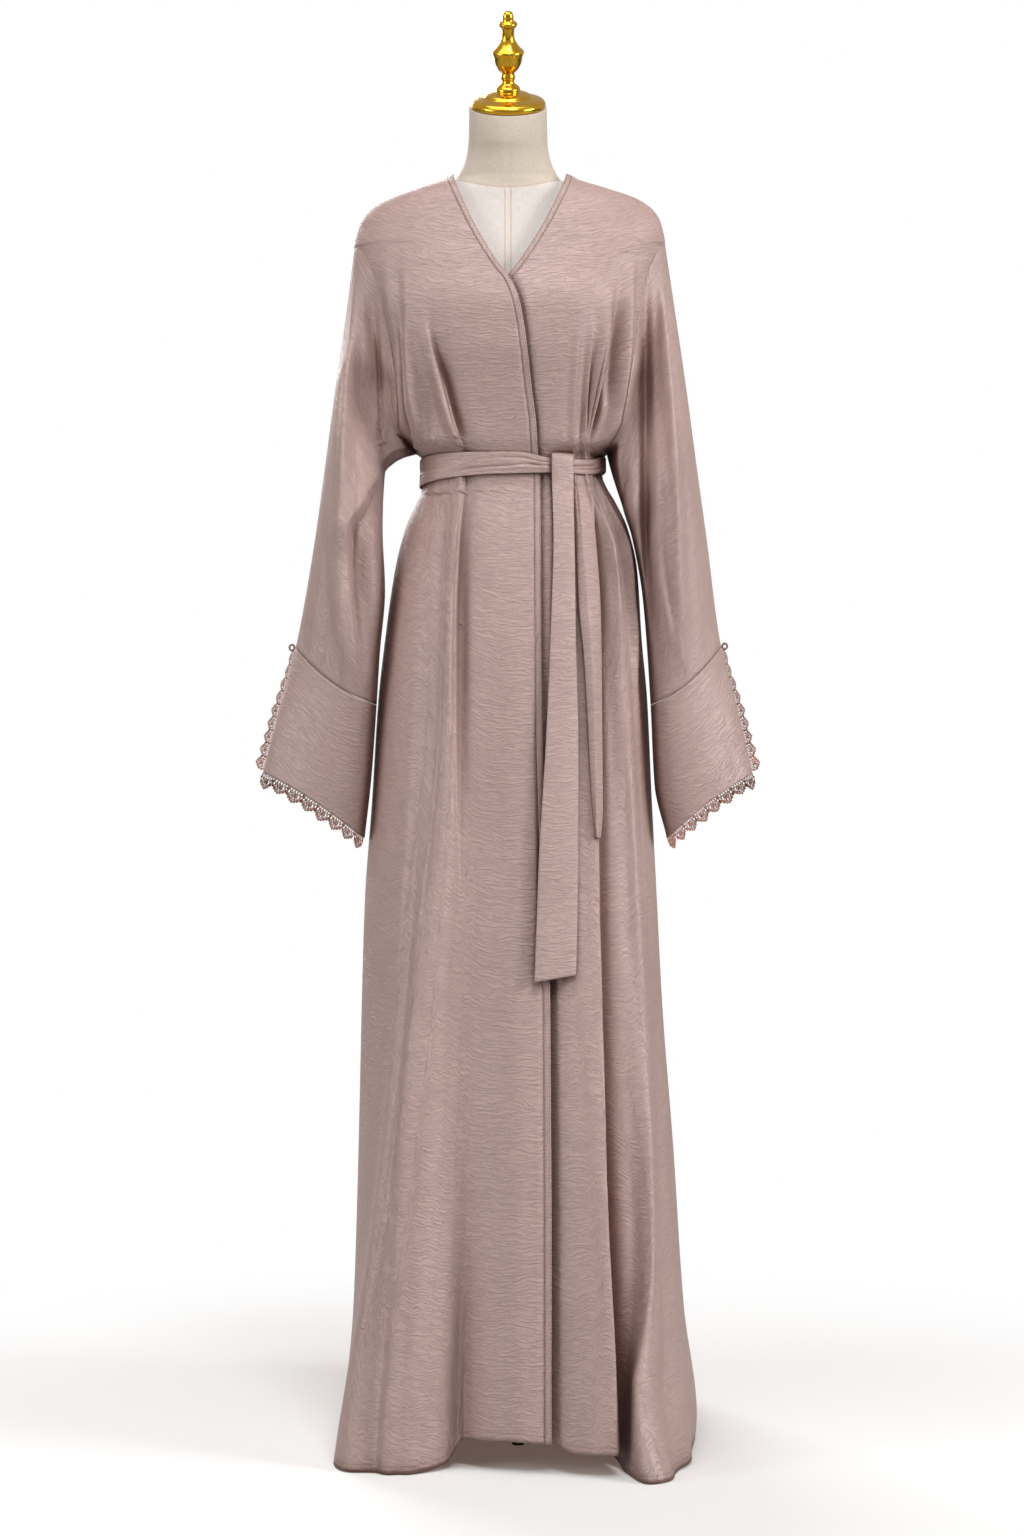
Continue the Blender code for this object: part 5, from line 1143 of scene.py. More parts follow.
def linen_cover(settings):
    """Ivory linen, plain woven and stretched over the form: matt, with slubs and an even grain."""
    material, tree, shader = new_material("ivory linen, plain woven")
    cloth = add(tree, "ShaderNodeUVMap", {"uv_map": "cloth"}).outputs["UV"]
    # threads are 0.5 mm apart, drawn at 1.1 mm so that the grain shows
    pitch = settings.thread_pitch
    warp_way = add(tree, "ShaderNodeVectorMath", {"operation": "MULTIPLY"},
            {0: cloth, 1: (1 / pitch, 0.12 / pitch, 0.0)})
    weft_way = add(tree, "ShaderNodeVectorMath", {"operation": "MULTIPLY"},
            {0: cloth, 1: (0.12 / pitch, 1 / pitch, 0.0)})
    warp_threads = add(tree, "ShaderNodeTexNoise", {"noise_dimensions": "2D"},
            {"Vector": warp_way.outputs[0], "Scale": 1.0, "Detail": 1.0})
    weft_threads = add(tree, "ShaderNodeTexNoise", {"noise_dimensions": "2D"},
            {"Vector": weft_way.outputs[0], "Scale": 1.0, "Detail": 1.0})
    weave = add(tree, "ShaderNodeMath", {"operation": "ADD"},
            {0: warp_threads.outputs["Fac"], 1: weft_threads.outputs["Fac"]})
    tone = add(tree, "ShaderNodeMapRange", {}, {"Value": weave.outputs[0], "From Min": 0.6, "From Max": 1.4})
    colour = add(tree, "ShaderNodeMix", {"data_type": "RGBA"},
            {0: tone.outputs[0], 6: settings.shade, 7: settings.colour})
    bump = add(tree, "ShaderNodeBump", {}, {"Height": weave.outputs[0], "Strength": 0.5, "Distance": 0.0003})
    # the neck's cover, above the seam at its base, is of a natural linen, a little browner than the bust's
    place = add(tree, "ShaderNodeTexCoord").outputs["Object"]
    parts = add(tree, "ShaderNodeSeparateXYZ", {}, {"Vector": place})
    aside = add(tree, "ShaderNodeMath", {"operation": "POWER"}, {0: parts.outputs["X"], 1: 2.0})
    above = add(tree, "ShaderNodeMath", {"operation": "MULTIPLY_ADD"},
            {0: aside.outputs[0], 1: -3.3, 2: parts.outputs["Z"]})
    neck = add(tree, "ShaderNodeMapRange", {},
            {"Value": above.outputs[0], "From Min": 1.479, "From Max": 1.48})
    natural = add(tree, "ShaderNodeMix", {"data_type": "RGBA", "blend_type": "MULTIPLY"},
            {0: neck.outputs[0], 6: colour.outputs[2], 7: linear("#EEE6DB")})
    # two flat seams run down the middle, 7 mm apart, and one goes round the base of the neck
    middle = add(tree, "ShaderNodeMath", {"operation": "ABSOLUTE"}, {0: parts.outputs["X"]})
    beside = add(tree, "ShaderNodeMath", {"operation": "SUBTRACT"}, {0: middle.outputs[0], 1: 0.0035})
    under = add(tree, "ShaderNodeMath", {"operation": "SUBTRACT"}, {0: 1.4792, 1: above.outputs[0]})
    base = add(tree, "ShaderNodeMath", {"operation": "ABSOLUTE"}, {0: under.outputs[0]})
    flank = add(tree, "ShaderNodeMath", {"operation": "ABSOLUTE"}, {0: beside.outputs[0]})
    bust = add(tree, "ShaderNodeMath", {"operation": "ADD"}, {0: neck.outputs[0], 1: flank.outputs[0]})
    nearest = add(tree, "ShaderNodeMath", {"operation": "MINIMUM"}, {0: base.outputs[0], 1: bust.outputs[0]})
    seam = add(tree, "ShaderNodeMapRange", {},
            {"Value": nearest.outputs[0], "From Min": 0.0011, "From Max": 0.0005, "To Min": 0.0,
            "To Max": 1.0})
    sewn = add(tree, "ShaderNodeMix", {"data_type": "RGBA", "blend_type": "MULTIPLY"},
            {0: seam.outputs[0], 6: natural.outputs[2], 7: linear("#F0DFD6")})
    tree.links.new(sewn.outputs[2], shader.inputs["Base Color"])
    tree.links.new(bump.outputs[0], shader.inputs["Normal"])
    shader.inputs["Roughness"].default_value = 0.86
    shader.inputs["Specular IOR Level"].default_value = 0.3
    shader.inputs["Sheen Weight"].default_value = 0.12
    return material


def gold_plate(settings):
    """Brass, turned, polished and gold plated: sharp warm reflections with faint turning marks."""
    material, tree, shader = new_material("gold plated brass, turned and polished")
    place = add(tree, "ShaderNodeTexCoord").outputs["Object"]
    haze = add(tree, "ShaderNodeTexNoise", {}, {"Vector": place, "Scale": 90.0, "Detail": 3.0})
    rough = add(tree, "ShaderNodeMapRange", {},
            {"Value": haze.outputs["Fac"], "From Min": 0.3, "From Max": 0.7,
            "To Min": settings.roughness - 0.04, "To Max": settings.roughness + 0.06})
    tone = add(tree, "ShaderNodeMix", {"data_type": "RGBA"},
            {0: haze.outputs["Fac"], 6: settings.shade, 7: settings.colour})
    # turning marks are 0.1 mm apart, drawn at 0.7 mm
    marks = add(tree, "ShaderNodeTexNoise", {}, {"Vector": place, "Scale": 1400.0, "Detail": 1.0})
    bump = add(tree, "ShaderNodeBump", {},
            {"Height": marks.outputs["Fac"], "Strength": 0.12, "Distance": 0.0001})
    tree.links.new(tone.outputs[2], shader.inputs["Base Color"])
    tree.links.new(rough.outputs[0], shader.inputs["Roughness"])
    tree.links.new(bump.outputs[0], shader.inputs["Normal"])
    shader.inputs["Metallic"].default_value = 1.0
    return material


FINISHES = {"cloth": crepe, "lace": lace_cotton, "linen": linen_cover, "gold": gold_plate}


def finish_of(slot):
    """The material of a slot, made once from its settings."""
    scene = bpy.context.scene
    made = dict(scene.get("abaya_finishes", {}))
    if made.get(slot, "") not in bpy.data.materials:
        made[slot] = FINISHES[slot](getattr(scene, f"abaya_{slot}")).name
        scene["abaya_finishes"] = made
    return bpy.data.materials[made[slot]]


def placed(piece, slot, *nodes):
    """Let a finished piece move with the part and stand for its solids; `slot` is not used."""
    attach(piece, "root")
    if nodes:
        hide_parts(*nodes)


def sewn_piece(name, grid, slope=0.0, closed=False, thickness=None):
    """A piece of the abaya's crepe over a grid of points, which stands for the solid of its name."""
    thickness = thickness or bpy.context.scene.abaya_cloth.thickness
    piece = cloth_piece(f"cloth_{name}", grid, finish_of("cloth"), thickness, cloth_map(grid, slope), closed)
    placed(piece, "cloth", name)
    return piece


# ---- repeats along a path


def finish_tree(tree, copies, material):
    """End a tree: make its copies real and smooth, and give them their material."""
    real = add(tree, "GeometryNodeRealizeInstances", {}, {"Geometry": copies.outputs[0]})
    smooth = add(tree, "GeometryNodeSetShadeSmooth", {}, {"Geometry": real.outputs[0]})
    painted = add(tree, "GeometryNodeSetMaterial", {}, {"Geometry": smooth.outputs[0], "Material": material})
    add(tree, "NodeGroupOutput", {}, {0: painted.outputs[0]})


def stitch_tree(material):
    """Stitches along a line: short round threads at an even pitch."""
    tree = bpy.data.node_groups.new("stitches along a line", "GeometryNodeTree")
    tree.interface.new_socket("Line", in_out="INPUT", socket_type="NodeSocketGeometry")
    sizes = [
        tree.interface.new_socket(name, in_out="INPUT", socket_type="NodeSocketFloat")
        for name in ("Pitch", "Stitch length", "Thread radius")
    ]
    tree.interface.new_socket("Stitches", in_out="OUTPUT", socket_type="NodeSocketGeometry")
    given = add(tree, "NodeGroupInput").outputs
    curve = add(tree, "GeometryNodeMeshToCurve", {}, {"Mesh": given["Line"]})
    even = add(tree, "GeometryNodeResampleCurve", {"mode": "LENGTH"},
            {"Curve": curve.outputs[0], "Length": given["Pitch"]})
    way = add(tree, "GeometryNodeInputTangent")
    turn = add(tree, "FunctionNodeAlignRotationToVector", {"axis": "X"}, {"Vector": way.outputs[0]})
    half = add(tree, "ShaderNodeMath", {"operation": "MULTIPLY"}, {0: given["Stitch length"], 1: 0.5})
    size = add(tree, "ShaderNodeCombineXYZ", {},
            {"X": half.outputs[0], "Y": given["Thread radius"], "Z": given["Thread radius"]})
    ball = add(tree, "GeometryNodeMeshUVSphere", {}, {"Segments": 6, "Rings": 4, "Radius": 1.0})
    stitch = add(tree, "GeometryNodeTransform", {}, {"Geometry": ball.outputs[0], "Scale": size.outputs[0]})
    copies = add(tree, "GeometryNodeInstanceOnPoints", {},
            {"Points": even.outputs[0], "Instance": stitch.outputs[0], "Rotation": turn.outputs[0]})
    finish_tree(tree, copies, material)
    return tree, [size.identifier for size in sizes]


def lace_tree(material, motif):
    """Lace: one embroidered scallop repeated along the cloth's edge and stretched to the strip's depth."""
    tree = bpy.data.node_groups.new("lace scallops along an edge", "GeometryNodeTree")
    tree.interface.new_socket("Edge", in_out="INPUT", socket_type="NodeSocketGeometry")
    seed = tree.interface.new_socket("Seed", in_out="INPUT", socket_type="NodeSocketInt")
    tree.interface.new_socket("Lace", in_out="OUTPUT", socket_type="NodeSocketGeometry")
    given = add(tree, "NodeGroupInput").outputs
    along, outward, stretch = (
        add(tree, "GeometryNodeInputNamedAttribute", {"data_type": "FLOAT_VECTOR"}, {"Name": name}).outputs[0]
        for name in ("along", "outward", "stretch")
    )
    first = add(tree, "FunctionNodeAlignRotationToVector", {"axis": "X"}, {"Vector": along})
    both = add(tree, "FunctionNodeAlignRotationToVector", {"axis": "Y", "pivot_axis": "X"},
            {"Rotation": first.outputs[0], "Vector": outward})
    loose = add(tree, "FunctionNodeRandomValue", {"data_type": "FLOAT_VECTOR"},
            {0: (0.97, 0.93, 0.8), 1: (1.03, 1.06, 1.2), "Seed": given["Seed"]})
    size = add(tree, "ShaderNodeVectorMath", {"operation": "MULTIPLY"}, {0: stretch, 1: loose.outputs[0]})
    shape = add(tree, "GeometryNodeObjectInfo", {}, {"Object": motif})
    copies = add(tree, "GeometryNodeInstanceOnPoints", {},
            {"Points": given["Edge"], "Instance": shape.outputs["Geometry"], "Rotation": both.outputs[0],
            "Scale": size.outputs[0]})
    finish_tree(tree, copies, material)
    return tree, seed.identifier


def repeated(name, points, edges, tree, inputs, attributes=None):
    """Run a tree on points and edges and keep what it makes as a plain mesh piece."""
    data = bpy.data.meshes.new(name + "_path")
    data.from_pydata([tuple(map(float, p)) for p in points], [tuple(map(int, e)) for e in edges], [])
    for key, values in (attributes or {}).items():
        layer = data.attributes.new(key, "FLOAT_VECTOR", "POINT")
        layer.data.foreach_set("vector", np.asarray(values, float).ravel())
    path = bpy.data.objects.new(name + "_path", data)
    bpy.context.scene.collection.objects.link(path)
    maker = path.modifiers.new("repeat", "NODES")
    maker.node_group = tree
    for identifier, value in inputs.items():
        maker[identifier] = value
    graph = bpy.context.evaluated_depsgraph_get()
    made = bpy.data.meshes.new_from_object(path.evaluated_get(graph))
    made.name = name
    piece = bpy.data.objects.new(name, made)
    bpy.context.scene.collection.objects.link(piece)
    path.modifiers.clear()
    bpy.data.objects.remove(path)
    if not made.polygons:
        raise RuntimeError(f"{name} came out empty")
    return piece


# ---- settings


class ClothSettings(bpy.types.PropertyGroup):
    """The abaya's satin crepe."""

    colour: FloatVectorProperty(name="Cloth colour", description="Lighter tone of the crepe", subtype="COLOR",
            size=4, min=0, max=1, default=linear("#BA9D96"))
    shade: FloatVectorProperty(name="Cloth shade", description="Darker tone of the crepe", subtype="COLOR",
            size=4, min=0, max=1, default=linear("#B0928B"))
    # painted shade: the warm dark colour mixed into the crepe's base colour where ambient occlusion finds
    # folds
    painted_fold_shade: FloatVectorProperty(name="Fold tone", description="Tone deep in the folds", subtype="COLOR",
            size=4, min=0, max=1, default=linear("#7A5348"))
    thickness: FloatProperty(name="Thickness", description="Thickness of the drawn cloth", unit="LENGTH",
            default=0.0009, min=0.0003, max=0.0014)
    roughness: FloatProperty(name="Roughness", description="How matt the crepe is", subtype="FACTOR",
            default=0.48, min=0.1, max=0.9)
    crinkle_pitch: FloatProperty(name="Crinkle spacing", description="Distance from one crinkle to the next",
            unit="LENGTH", default=0.0029, min=0.001, max=0.02)
    crinkle_depth: FloatProperty(name="Crinkle depth", description="Height of the crinkles", unit="LENGTH",
            default=0.0015, min=0.0, max=0.004)


class BeltSettings(bpy.types.PropertyGroup):
    """The tie belt."""

    thickness: FloatProperty(name="Thickness", description="Thickness of the doubled cloth", unit="LENGTH",
            default=0.0016, min=0.0005, max=0.002)
    ripple: FloatProperty(name="Ripple", description="Softness of the waves in the hanging ends",
            unit="LENGTH", default=0.0012, min=0.0, max=0.004)


class StitchSettings(bpy.types.PropertyGroup):
    """The sewing."""

    pitch: FloatProperty(name="Stitch pitch", description="Distance from stitch to stitch", unit="LENGTH",
            default=0.004, min=0.001, max=0.01)
    # partly painted shade: the thread is darker than the cloth in part to stand in for the shade along the
    # stitch lines
    colour: FloatVectorProperty(name="Thread colour", description="Colour of the sewing thread",
            subtype="COLOR", size=4, min=0, max=1, default=linear("#86665E"))
    length: FloatProperty(name="Stitch length", description="Length of the thread that shows", unit="LENGTH",
            default=0.003, min=0.0005, max=0.01)
    thread: FloatProperty(name="Thread radius", description="Radius of the sewing thread", unit="LENGTH",
            default=0.00028, min=0.0001, max=0.001)


class LaceSettings(bpy.types.PropertyGroup):
    """The lace along the cuffs."""

    colour: FloatVectorProperty(name="Lace colour", description="Lighter tone of the lace", subtype="COLOR",
            size=4, min=0, max=1, default=linear("#D6A494"))
    shade: FloatVectorProperty(name="Lace shade", description="Darker tone of the lace", subtype="COLOR",
            size=4, min=0, max=1, default=linear("#B8826E"))
    repeat: FloatProperty(name="Scallop", description="Width of one scallop", unit="LENGTH", default=SCALLOP,
            min=0.008, max=0.03)
    strand: FloatProperty(name="Strand radius", description="Radius of the embroidered strands",
            unit="LENGTH", default=0.00056, min=0.0002, max=0.001)
    seed: IntProperty(name="Seed", description="Number that fixes the scallops' small differences", default=4,
            min=0)


class LinenSettings(bpy.types.PropertyGroup):
    """The dress form's cover."""

    colour: FloatVectorProperty(name="Linen colour", description="Lighter tone of the linen", subtype="COLOR",
            size=4, min=0, max=1, default=linear("#DED7D0"))
    shade: FloatVectorProperty(name="Linen shade", description="Darker tone of the linen", subtype="COLOR",
            size=4, min=0, max=1, default=linear("#D2C9C2"))
    thread_pitch: FloatProperty(name="Thread spacing", description="Distance between drawn threads",
            unit="LENGTH", default=0.0011, min=0.0003, max=0.004)
    seam_depth: FloatProperty(name="Seam depth", description="Depth of the cover's seams", unit="LENGTH",
            default=0.0007, min=0.0, max=0.002)


class GoldSettings(bpy.types.PropertyGroup):
    """The neck cap and the stand."""

    colour: FloatVectorProperty(name="Gold colour", description="Lighter tone of the plate", subtype="COLOR",
            size=4, min=0, max=1, default=linear("#ECC044"))
    shade: FloatVectorProperty(name="Gold shade", description="Darker tone of the plate", subtype="COLOR",
            size=4, min=0, max=1, default=linear("#DAA52A"))
    roughness: FloatProperty(name="Roughness", description="How matt the plate is", subtype="FACTOR",
            default=0.22, min=0.02, max=0.8)
    steps: IntProperty(name="Steps", description="Steps round a turned piece", default=72, min=12, max=128)


class StageSettings(bpy.types.PropertyGroup):
    """The studio: floor, lights and camera."""

    key: FloatProperty(name="Key light", description="Power of the main light in watts", default=162.0,
            min=0.0)
    side: FloatProperty(name="Side light", description="Power of the light at the right in watts",
            default=84.0, min=0.0)
    fill: FloatProperty(name="Fill light", description="Power of the light at the left in watts",
            default=42.0, min=0.0)
    top: FloatProperty(name="Top light", description="Power of the light overhead in watts", default=26.0,
            min=0.0)
    rear: FloatProperty(name="Back light", description="Power of the light behind in watts", default=120.0,
            min=0.0)
    room: FloatProperty(name="Room light", description="Brightness of the room in front", default=0.16,
            min=0.0, max=3.0)
    backdrop: FloatProperty(name="Backdrop", description="Brightness behind", default=0.16, min=0.0, max=3.0)
    distance: FloatProperty(name="Camera distance", description="From the camera to the pole", unit="LENGTH",
            default=4.0, min=1.0)
    lens: FloatProperty(name="Lens", description="Focal length in millimetres", default=78.1, min=20.0)


# ---- pieces


class ABAYA_OT_stage(bpy.types.Operator):
    """Set a pale floor, soft studio lights and the camera"""

    bl_idname = "abaya.stage"
    bl_label = "Stage"

    def execute(self, context):
        settings = context.scene.abaya_stage
        floor = self.floor()
        self.light("key light", (1.1, -4.6, 6.2), (0.0, 0.0, 0.75), 1.6, settings.key, (0.965, 1.0, 1.01))
        self.light("side light", (3.3, -1.5, 2.0), (0.0, 0.0, 0.8), 1.4, settings.side)
        self.light("fill light", (-3.2, -1.8, 1.6), (0.0, 0.0, 0.6), 1.6, settings.fill)
        self.light("top light", (-0.3, -0.9, 3.3), (0.0, 0.0, 0.8), 1.8, settings.top)
        self.light("back light", (-1.4, 3.8, 3.0), (0.0, 0.0, 0.8), 2.0, settings.rear)
        self.room(context.scene, settings)
        data = bpy.data.cameras.new("camera")
        data.sensor_width = 36.0
        data.lens = settings.lens
        camera = bpy.data.objects.new("camera", data)
        camera.location = (CAMERA_ASIDE, -settings.distance, CAMERA_HEIGHT)
        camera.rotation_euler = (math.pi / 2, 0, 0)
        context.scene.collection.objects.link(camera)
        context.scene.camera = camera
        context.scene.view_settings.view_transform = "Standard"
        return {"FINISHED"}

    @staticmethod
    def floor():
        """A pale floor that goes over into the white of the backdrop away from the piece."""
        material, tree, shader = new_material("pale studio floor, painted")
        place = add(tree, "ShaderNodeTexCoord").outputs["Object"]
        flat = add(tree, "ShaderNodeVectorMath", {"operation": "LENGTH"}, {0: place})
        far = add(tree, "ShaderNodeMapRange", {"interpolation_type": "SMOOTHSTEP"},
                {"Value": flat.outputs["Value"], "From Min": 0.5, "From Max": 1.3})
        glow = add(tree, "ShaderNodeEmission", {}, {"Color": (1, 1, 1, 1), "Strength": 1.0})
        lit = add(tree, "ShaderNodeMixShader", {},
                {0: far.outputs[0], 1: shader.outputs[0], 2: glow.outputs[0]})
        # the floor is white to look at but throws little light up
        dull = add(tree, "ShaderNodeBsdfDiffuse", {}, {"Color": (0.42, 0.42, 0.42, 1)})
        ray = add(tree, "ShaderNodeLightPath")
        mixed = add(tree, "ShaderNodeMixShader", {},
                {0: ray.outputs["Is Camera Ray"], 1: dull.outputs[0], 2: lit.outputs[0]})
        # painted light: the floor near the piece shows the camera a faint warm glow, which lightens the
        # shadow under the hem and warms it as light bounced from the cloth would
        shader.inputs["Emission Color"].default_value = (1.0, 0.68, 0.56, 1)
        shader.inputs["Emission Strength"].default_value = 0.13
        output = next(node for node in tree.nodes if node.type == "OUTPUT_MATERIAL")
        tree.links.new(mixed.outputs[0], output.inputs["Surface"])
        shader.inputs["Base Color"].default_value = linear("#E2E6E7")
        shader.inputs["Roughness"].default_value = 0.9
        angles = np.linspace(0, 2 * math.pi, 64, endpoint=False)
        points = [(0, 0, 0)] + [(30 * math.cos(a), 30 * math.sin(a), 0) for a in angles]
        faces = [(0, i + 1, (i + 1) % 64 + 1) for i in range(64)]
        return mesh_object("floor", points, faces, material, smooth=False)

    @staticmethod
    def light(name, place, aim, size, power, colour=(1, 1, 1)):
        """A square soft box."""
        data = bpy.data.lights.new(name, "AREA")
        data.color = colour
        data.size = size
        data.energy = power
        lamp = bpy.data.objects.new(name, data)
        lamp.location = place
        lamp.rotation_euler = (Vector(aim) - Vector(place)).to_track_quat("-Z", "Y").to_euler()
        bpy.context.scene.collection.objects.link(lamp)

    @staticmethod
    def room(scene, settings):
        """A white backdrop to look at, and a room that is dimmer behind the camera."""
        world = bpy.data.worlds.new("studio")
        world.use_nodes = True
        tree = world.node_tree
        tree.nodes.clear()
        way = add(tree, "ShaderNodeTexCoord").outputs["Generated"]
        parts = add(tree, "ShaderNodeSeparateXYZ", {}, {"Vector": way})
        depth = add(tree, "ShaderNodeMapRange", {"interpolation_type": "SMOOTHSTEP"},
                {"Value": parts.outputs["Y"], "From Min": -0.6, "From Max": 0.5, "To Min": settings.room,
                "To Max": settings.backdrop})
        # polished metal mirrors a brighter studio than the one that lights the cloth
        ray = add(tree, "ShaderNodeLightPath")
        mirrored = add(tree, "ShaderNodeMath", {"operation": "MULTIPLY_ADD"},
                {0: ray.outputs["Is Glossy Ray"], 1: 0.3, 2: depth.outputs[0]})
        dim = add(tree, "ShaderNodeBackground", {},
                {"Color": (1, 0.93, 0.89, 1), "Strength": mirrored.outputs[0]})
        white = add(tree, "ShaderNodeBackground", {}, {"Color": (1, 1, 1, 1), "Strength": 1.0})
        seen = add(tree, "ShaderNodeMixShader", {},
                {0: ray.outputs["Is Camera Ray"], 1: dim.outputs[0], 2: white.outputs[0]})
        add(tree, "ShaderNodeOutputWorld", {}, {"Surface": seen.outputs[0]})
        scene.world = world


def outwards(grid):
    """Unit normals of a grid whose rows run down and whose columns run to the wearer's left."""
    normal = np.cross(np.gradient(grid, axis=0), np.gradient(grid, axis=1))
    size = np.linalg.norm(normal, axis=2)
    return normal / np.where(size < 1e-12, 1, size)[..., None]


def lifted(grid):
    """A grid of points, lifted off its face by a stitch's height."""
    return grid + outwards(grid) * STITCH_LIFT


def line_down(grid, column):
    """Points down one column of a grid (fractions allowed), lifted off its face."""
    raised = lifted(grid)
    low = math.floor(column)
    share = column - low
    return raised[:, low] * (1 - share) + raised[:, low + 1] * share


def above_hem(grid):
    """Points along a grid a hem's width up from its last row."""
    gaps = np.linalg.norm(np.diff(grid[::-1], axis=0), axis=2)
    run = np.concatenate((np.zeros((1, grid.shape[1])), np.cumsum(gaps, 0)))
    raised = lifted(grid)[::-1]
    return np.array([
        [np.interp(HEM_WIDTH, run[:, c], raised[:, c, k]) for k in range(3)]
        for c in range(grid.shape[1])
    ])


class ABAYA_OT_stitching(bpy.types.Operator):
    """Sew the bands' two stitch lines and the hem's line"""

    bl_idname = "abaya.stitching"
    bl_label = "Stitching"

    def execute(self, context):
        settings = context.scene.abaya_stitches
        material = sewing_thread(settings)
        tree, keys = stitch_tree(material)
        values = dict(zip(keys, (settings.pitch, settings.length, settings.thread)))
        right, left = band(edge_across, no_lift), band(under_edge_across, sink)[:, ::-1]
        lines = {
            "front_right": (line_down(right, 0.9), line_down(right, 4.9), above_hem(over_front())),
            "front_left": (line_down(left, 1.1), line_down(left, 5.1), above_hem(under_front())),
            "back": (lifted(neck_band())[3], above_hem(back())),
        }
        for name, paths in lines.items():
            edges, start = [], 0
            for path in paths:
                edges += [(start + i, start + i + 1) for i in range(len(path) - 1)]
                start += len(path)
            placed(repeated(f"stitches_{name}", np.concatenate(paths), edges, tree, values), "cloth")
        return {"FINISHED"}


class ABAYA_OT_bands(bpy.types.Operator):
    """Bind the neck and the front edges"""

    bl_idname = "abaya.bands"
    bl_label = "Neck and front bands"

    def execute(self, context):
        sewn_piece("band_right", band(edge_across, no_lift))
        sewn_piece("band_left", band(under_edge_across, sink)[:, ::-1])
        sewn_piece("band_neck", neck_band())
        return {"FINISHED"}


class ABAYA_OT_panels(bpy.types.Operator):
    """Drape the two fronts and the back"""

    bl_idname = "abaya.panels"
    bl_label = "Fronts and back"

    def execute(self, context):
        panels = (
            ("front_right", over_front(), "right"), ("front_left", under_front(), "left"),
            ("back", back(), "neck"),
        )
        for name, grid, binding in panels:
            sewn_piece(name, grid)
        return {"FINISHED"}


class ABAYA_OT_sleeves(bpy.types.Operator):
    """Hang the kimono sleeves from their dropped armholes"""

    bl_idname = "abaya.sleeves"
    bl_label = "Sleeves"

    def execute(self, context):
        for side, name in SIDES:
            grid = sleeve(side)[:, ::side]
            piece = sewn_piece(f"sleeve_{name}", grid, slope=-0.9 * side, closed=True)
        return {"FINISHED"}


class ABAYA_OT_cuffs(bpy.types.Operator):
    """Make the deep cuffs, each open at its outer slit"""

    bl_idname = "abaya.cuffs"
    bl_label = "Cuffs"

    def execute(self, context):
        for side, name in SIDES:
            grid = cuff(side)[:, ::-side]
            sewn_piece(f"cuff_{name}", grid)
        return {"FINISHED"}


def scallop(strand):
    """One pointed scallop of guipure, drawn at its pattern's size before it is stretched to its place."""

    def bar(points, radius=1.0, closed=False, steps=5):
        """A strand through points, each stretch drawn in `steps`."""
        points = np.array(points, float)
        if closed:
            points = np.vstack((points, points[:1]))
        fine = [points[0]]
        for a, b in zip(points[:-1], points[1:]):
            fine += [a + (b - a) * (i + 1) / steps for i in range(steps)]
        fine = np.array(fine[:-1] if closed else fine)
        path = np.column_stack((fine * SCALLOP, np.zeros(len(fine))))
        return tube(path, strand * radius, 4, closed)

    def ring(x, y, size, petals=0, points=12):
        """A ring of strand, lobed if it has petals."""
        turn = np.linspace(0, 2 * math.pi, points, endpoint=False)
        reach = size * (1 + (0.35 * np.cos(petals * turn) if petals else 0))
        return bar(np.column_stack((x + reach * np.cos(turn), y + reach * np.sin(turn))), 0.9, True, 1)

    parts = [bar([(-0.5, 0.02), (0.5, 0.02)], 1.3, steps=6), bar([(-0.5, 0.13), (0.5, 0.13)], 0.8, steps=6)]
    for i in range(6):
        x = -0.5 + i / 6
        parts.append(bar([(x, 0.02), (x + 1 / 12, 0.13), (x + 1 / 6, 0.02)], 0.7, steps=1))
    # an uneven diamond net down to the scallop's edge
    skew = (0.0, 0.03, -0.02, 0.02, -0.03, 0.01, -0.01)
    for i in range(7):
        x = -0.5 + i / 6
        bottom = 0.6 + 0.3 * math.cos(math.pi * x)
        parts.append(bar([(x, 0.13), (min(0.5, x + 0.09 + skew[i]), 0.3), (x + skew[i], 0.47),
                (min(0.5, x + 0.07), bottom)], 0.75, steps=2))
        parts.append(bar([(x, 0.13), (max(-0.5, x - 0.09 + skew[6 - i]), 0.31), (x + skew[i], 0.47),
                (max(-0.5, x - 0.07), bottom)], 0.75, steps=2))
    parts.append(ring(0.0, 0.56, 0.135, 6, 24))
    parts.append(ring(0.0, 0.56, 0.05))
    for x, y in ((-0.28, 0.45), (0.29, 0.44), (-0.5, 0.4), (0.5, 0.4)):
        parts.append(ring(x, y, 0.06))
    turn = np.linspace(-1, 1, 15)
    outer = np.column_stack((0.5 * turn, 0.62 + 0.38 * (1 - np.abs(turn) ** 1.35)))
    inner = np.column_stack((0.5 * turn, 0.52 + 0.36 * (1 - np.abs(turn) ** 1.35)))
    parts.append(bar(outer, 1.25, steps=1))
    parts.append(bar(inner, 0.8, steps=1))
    for i in range(1, 14, 2):
        parts.append(bar([inner[i], outer[i]], 0.6, steps=1))
        x, y = outer[i]
        parts.append(ring(x * 1.02, y + 0.045, 0.035, points=8))
    points, faces = joined(parts)
    lift = 0.00018 * np.sin(points[:, 0] * 1900) * np.cos(points[:, 1] * 1700)
    points[:, 2] += lift
    return points, faces


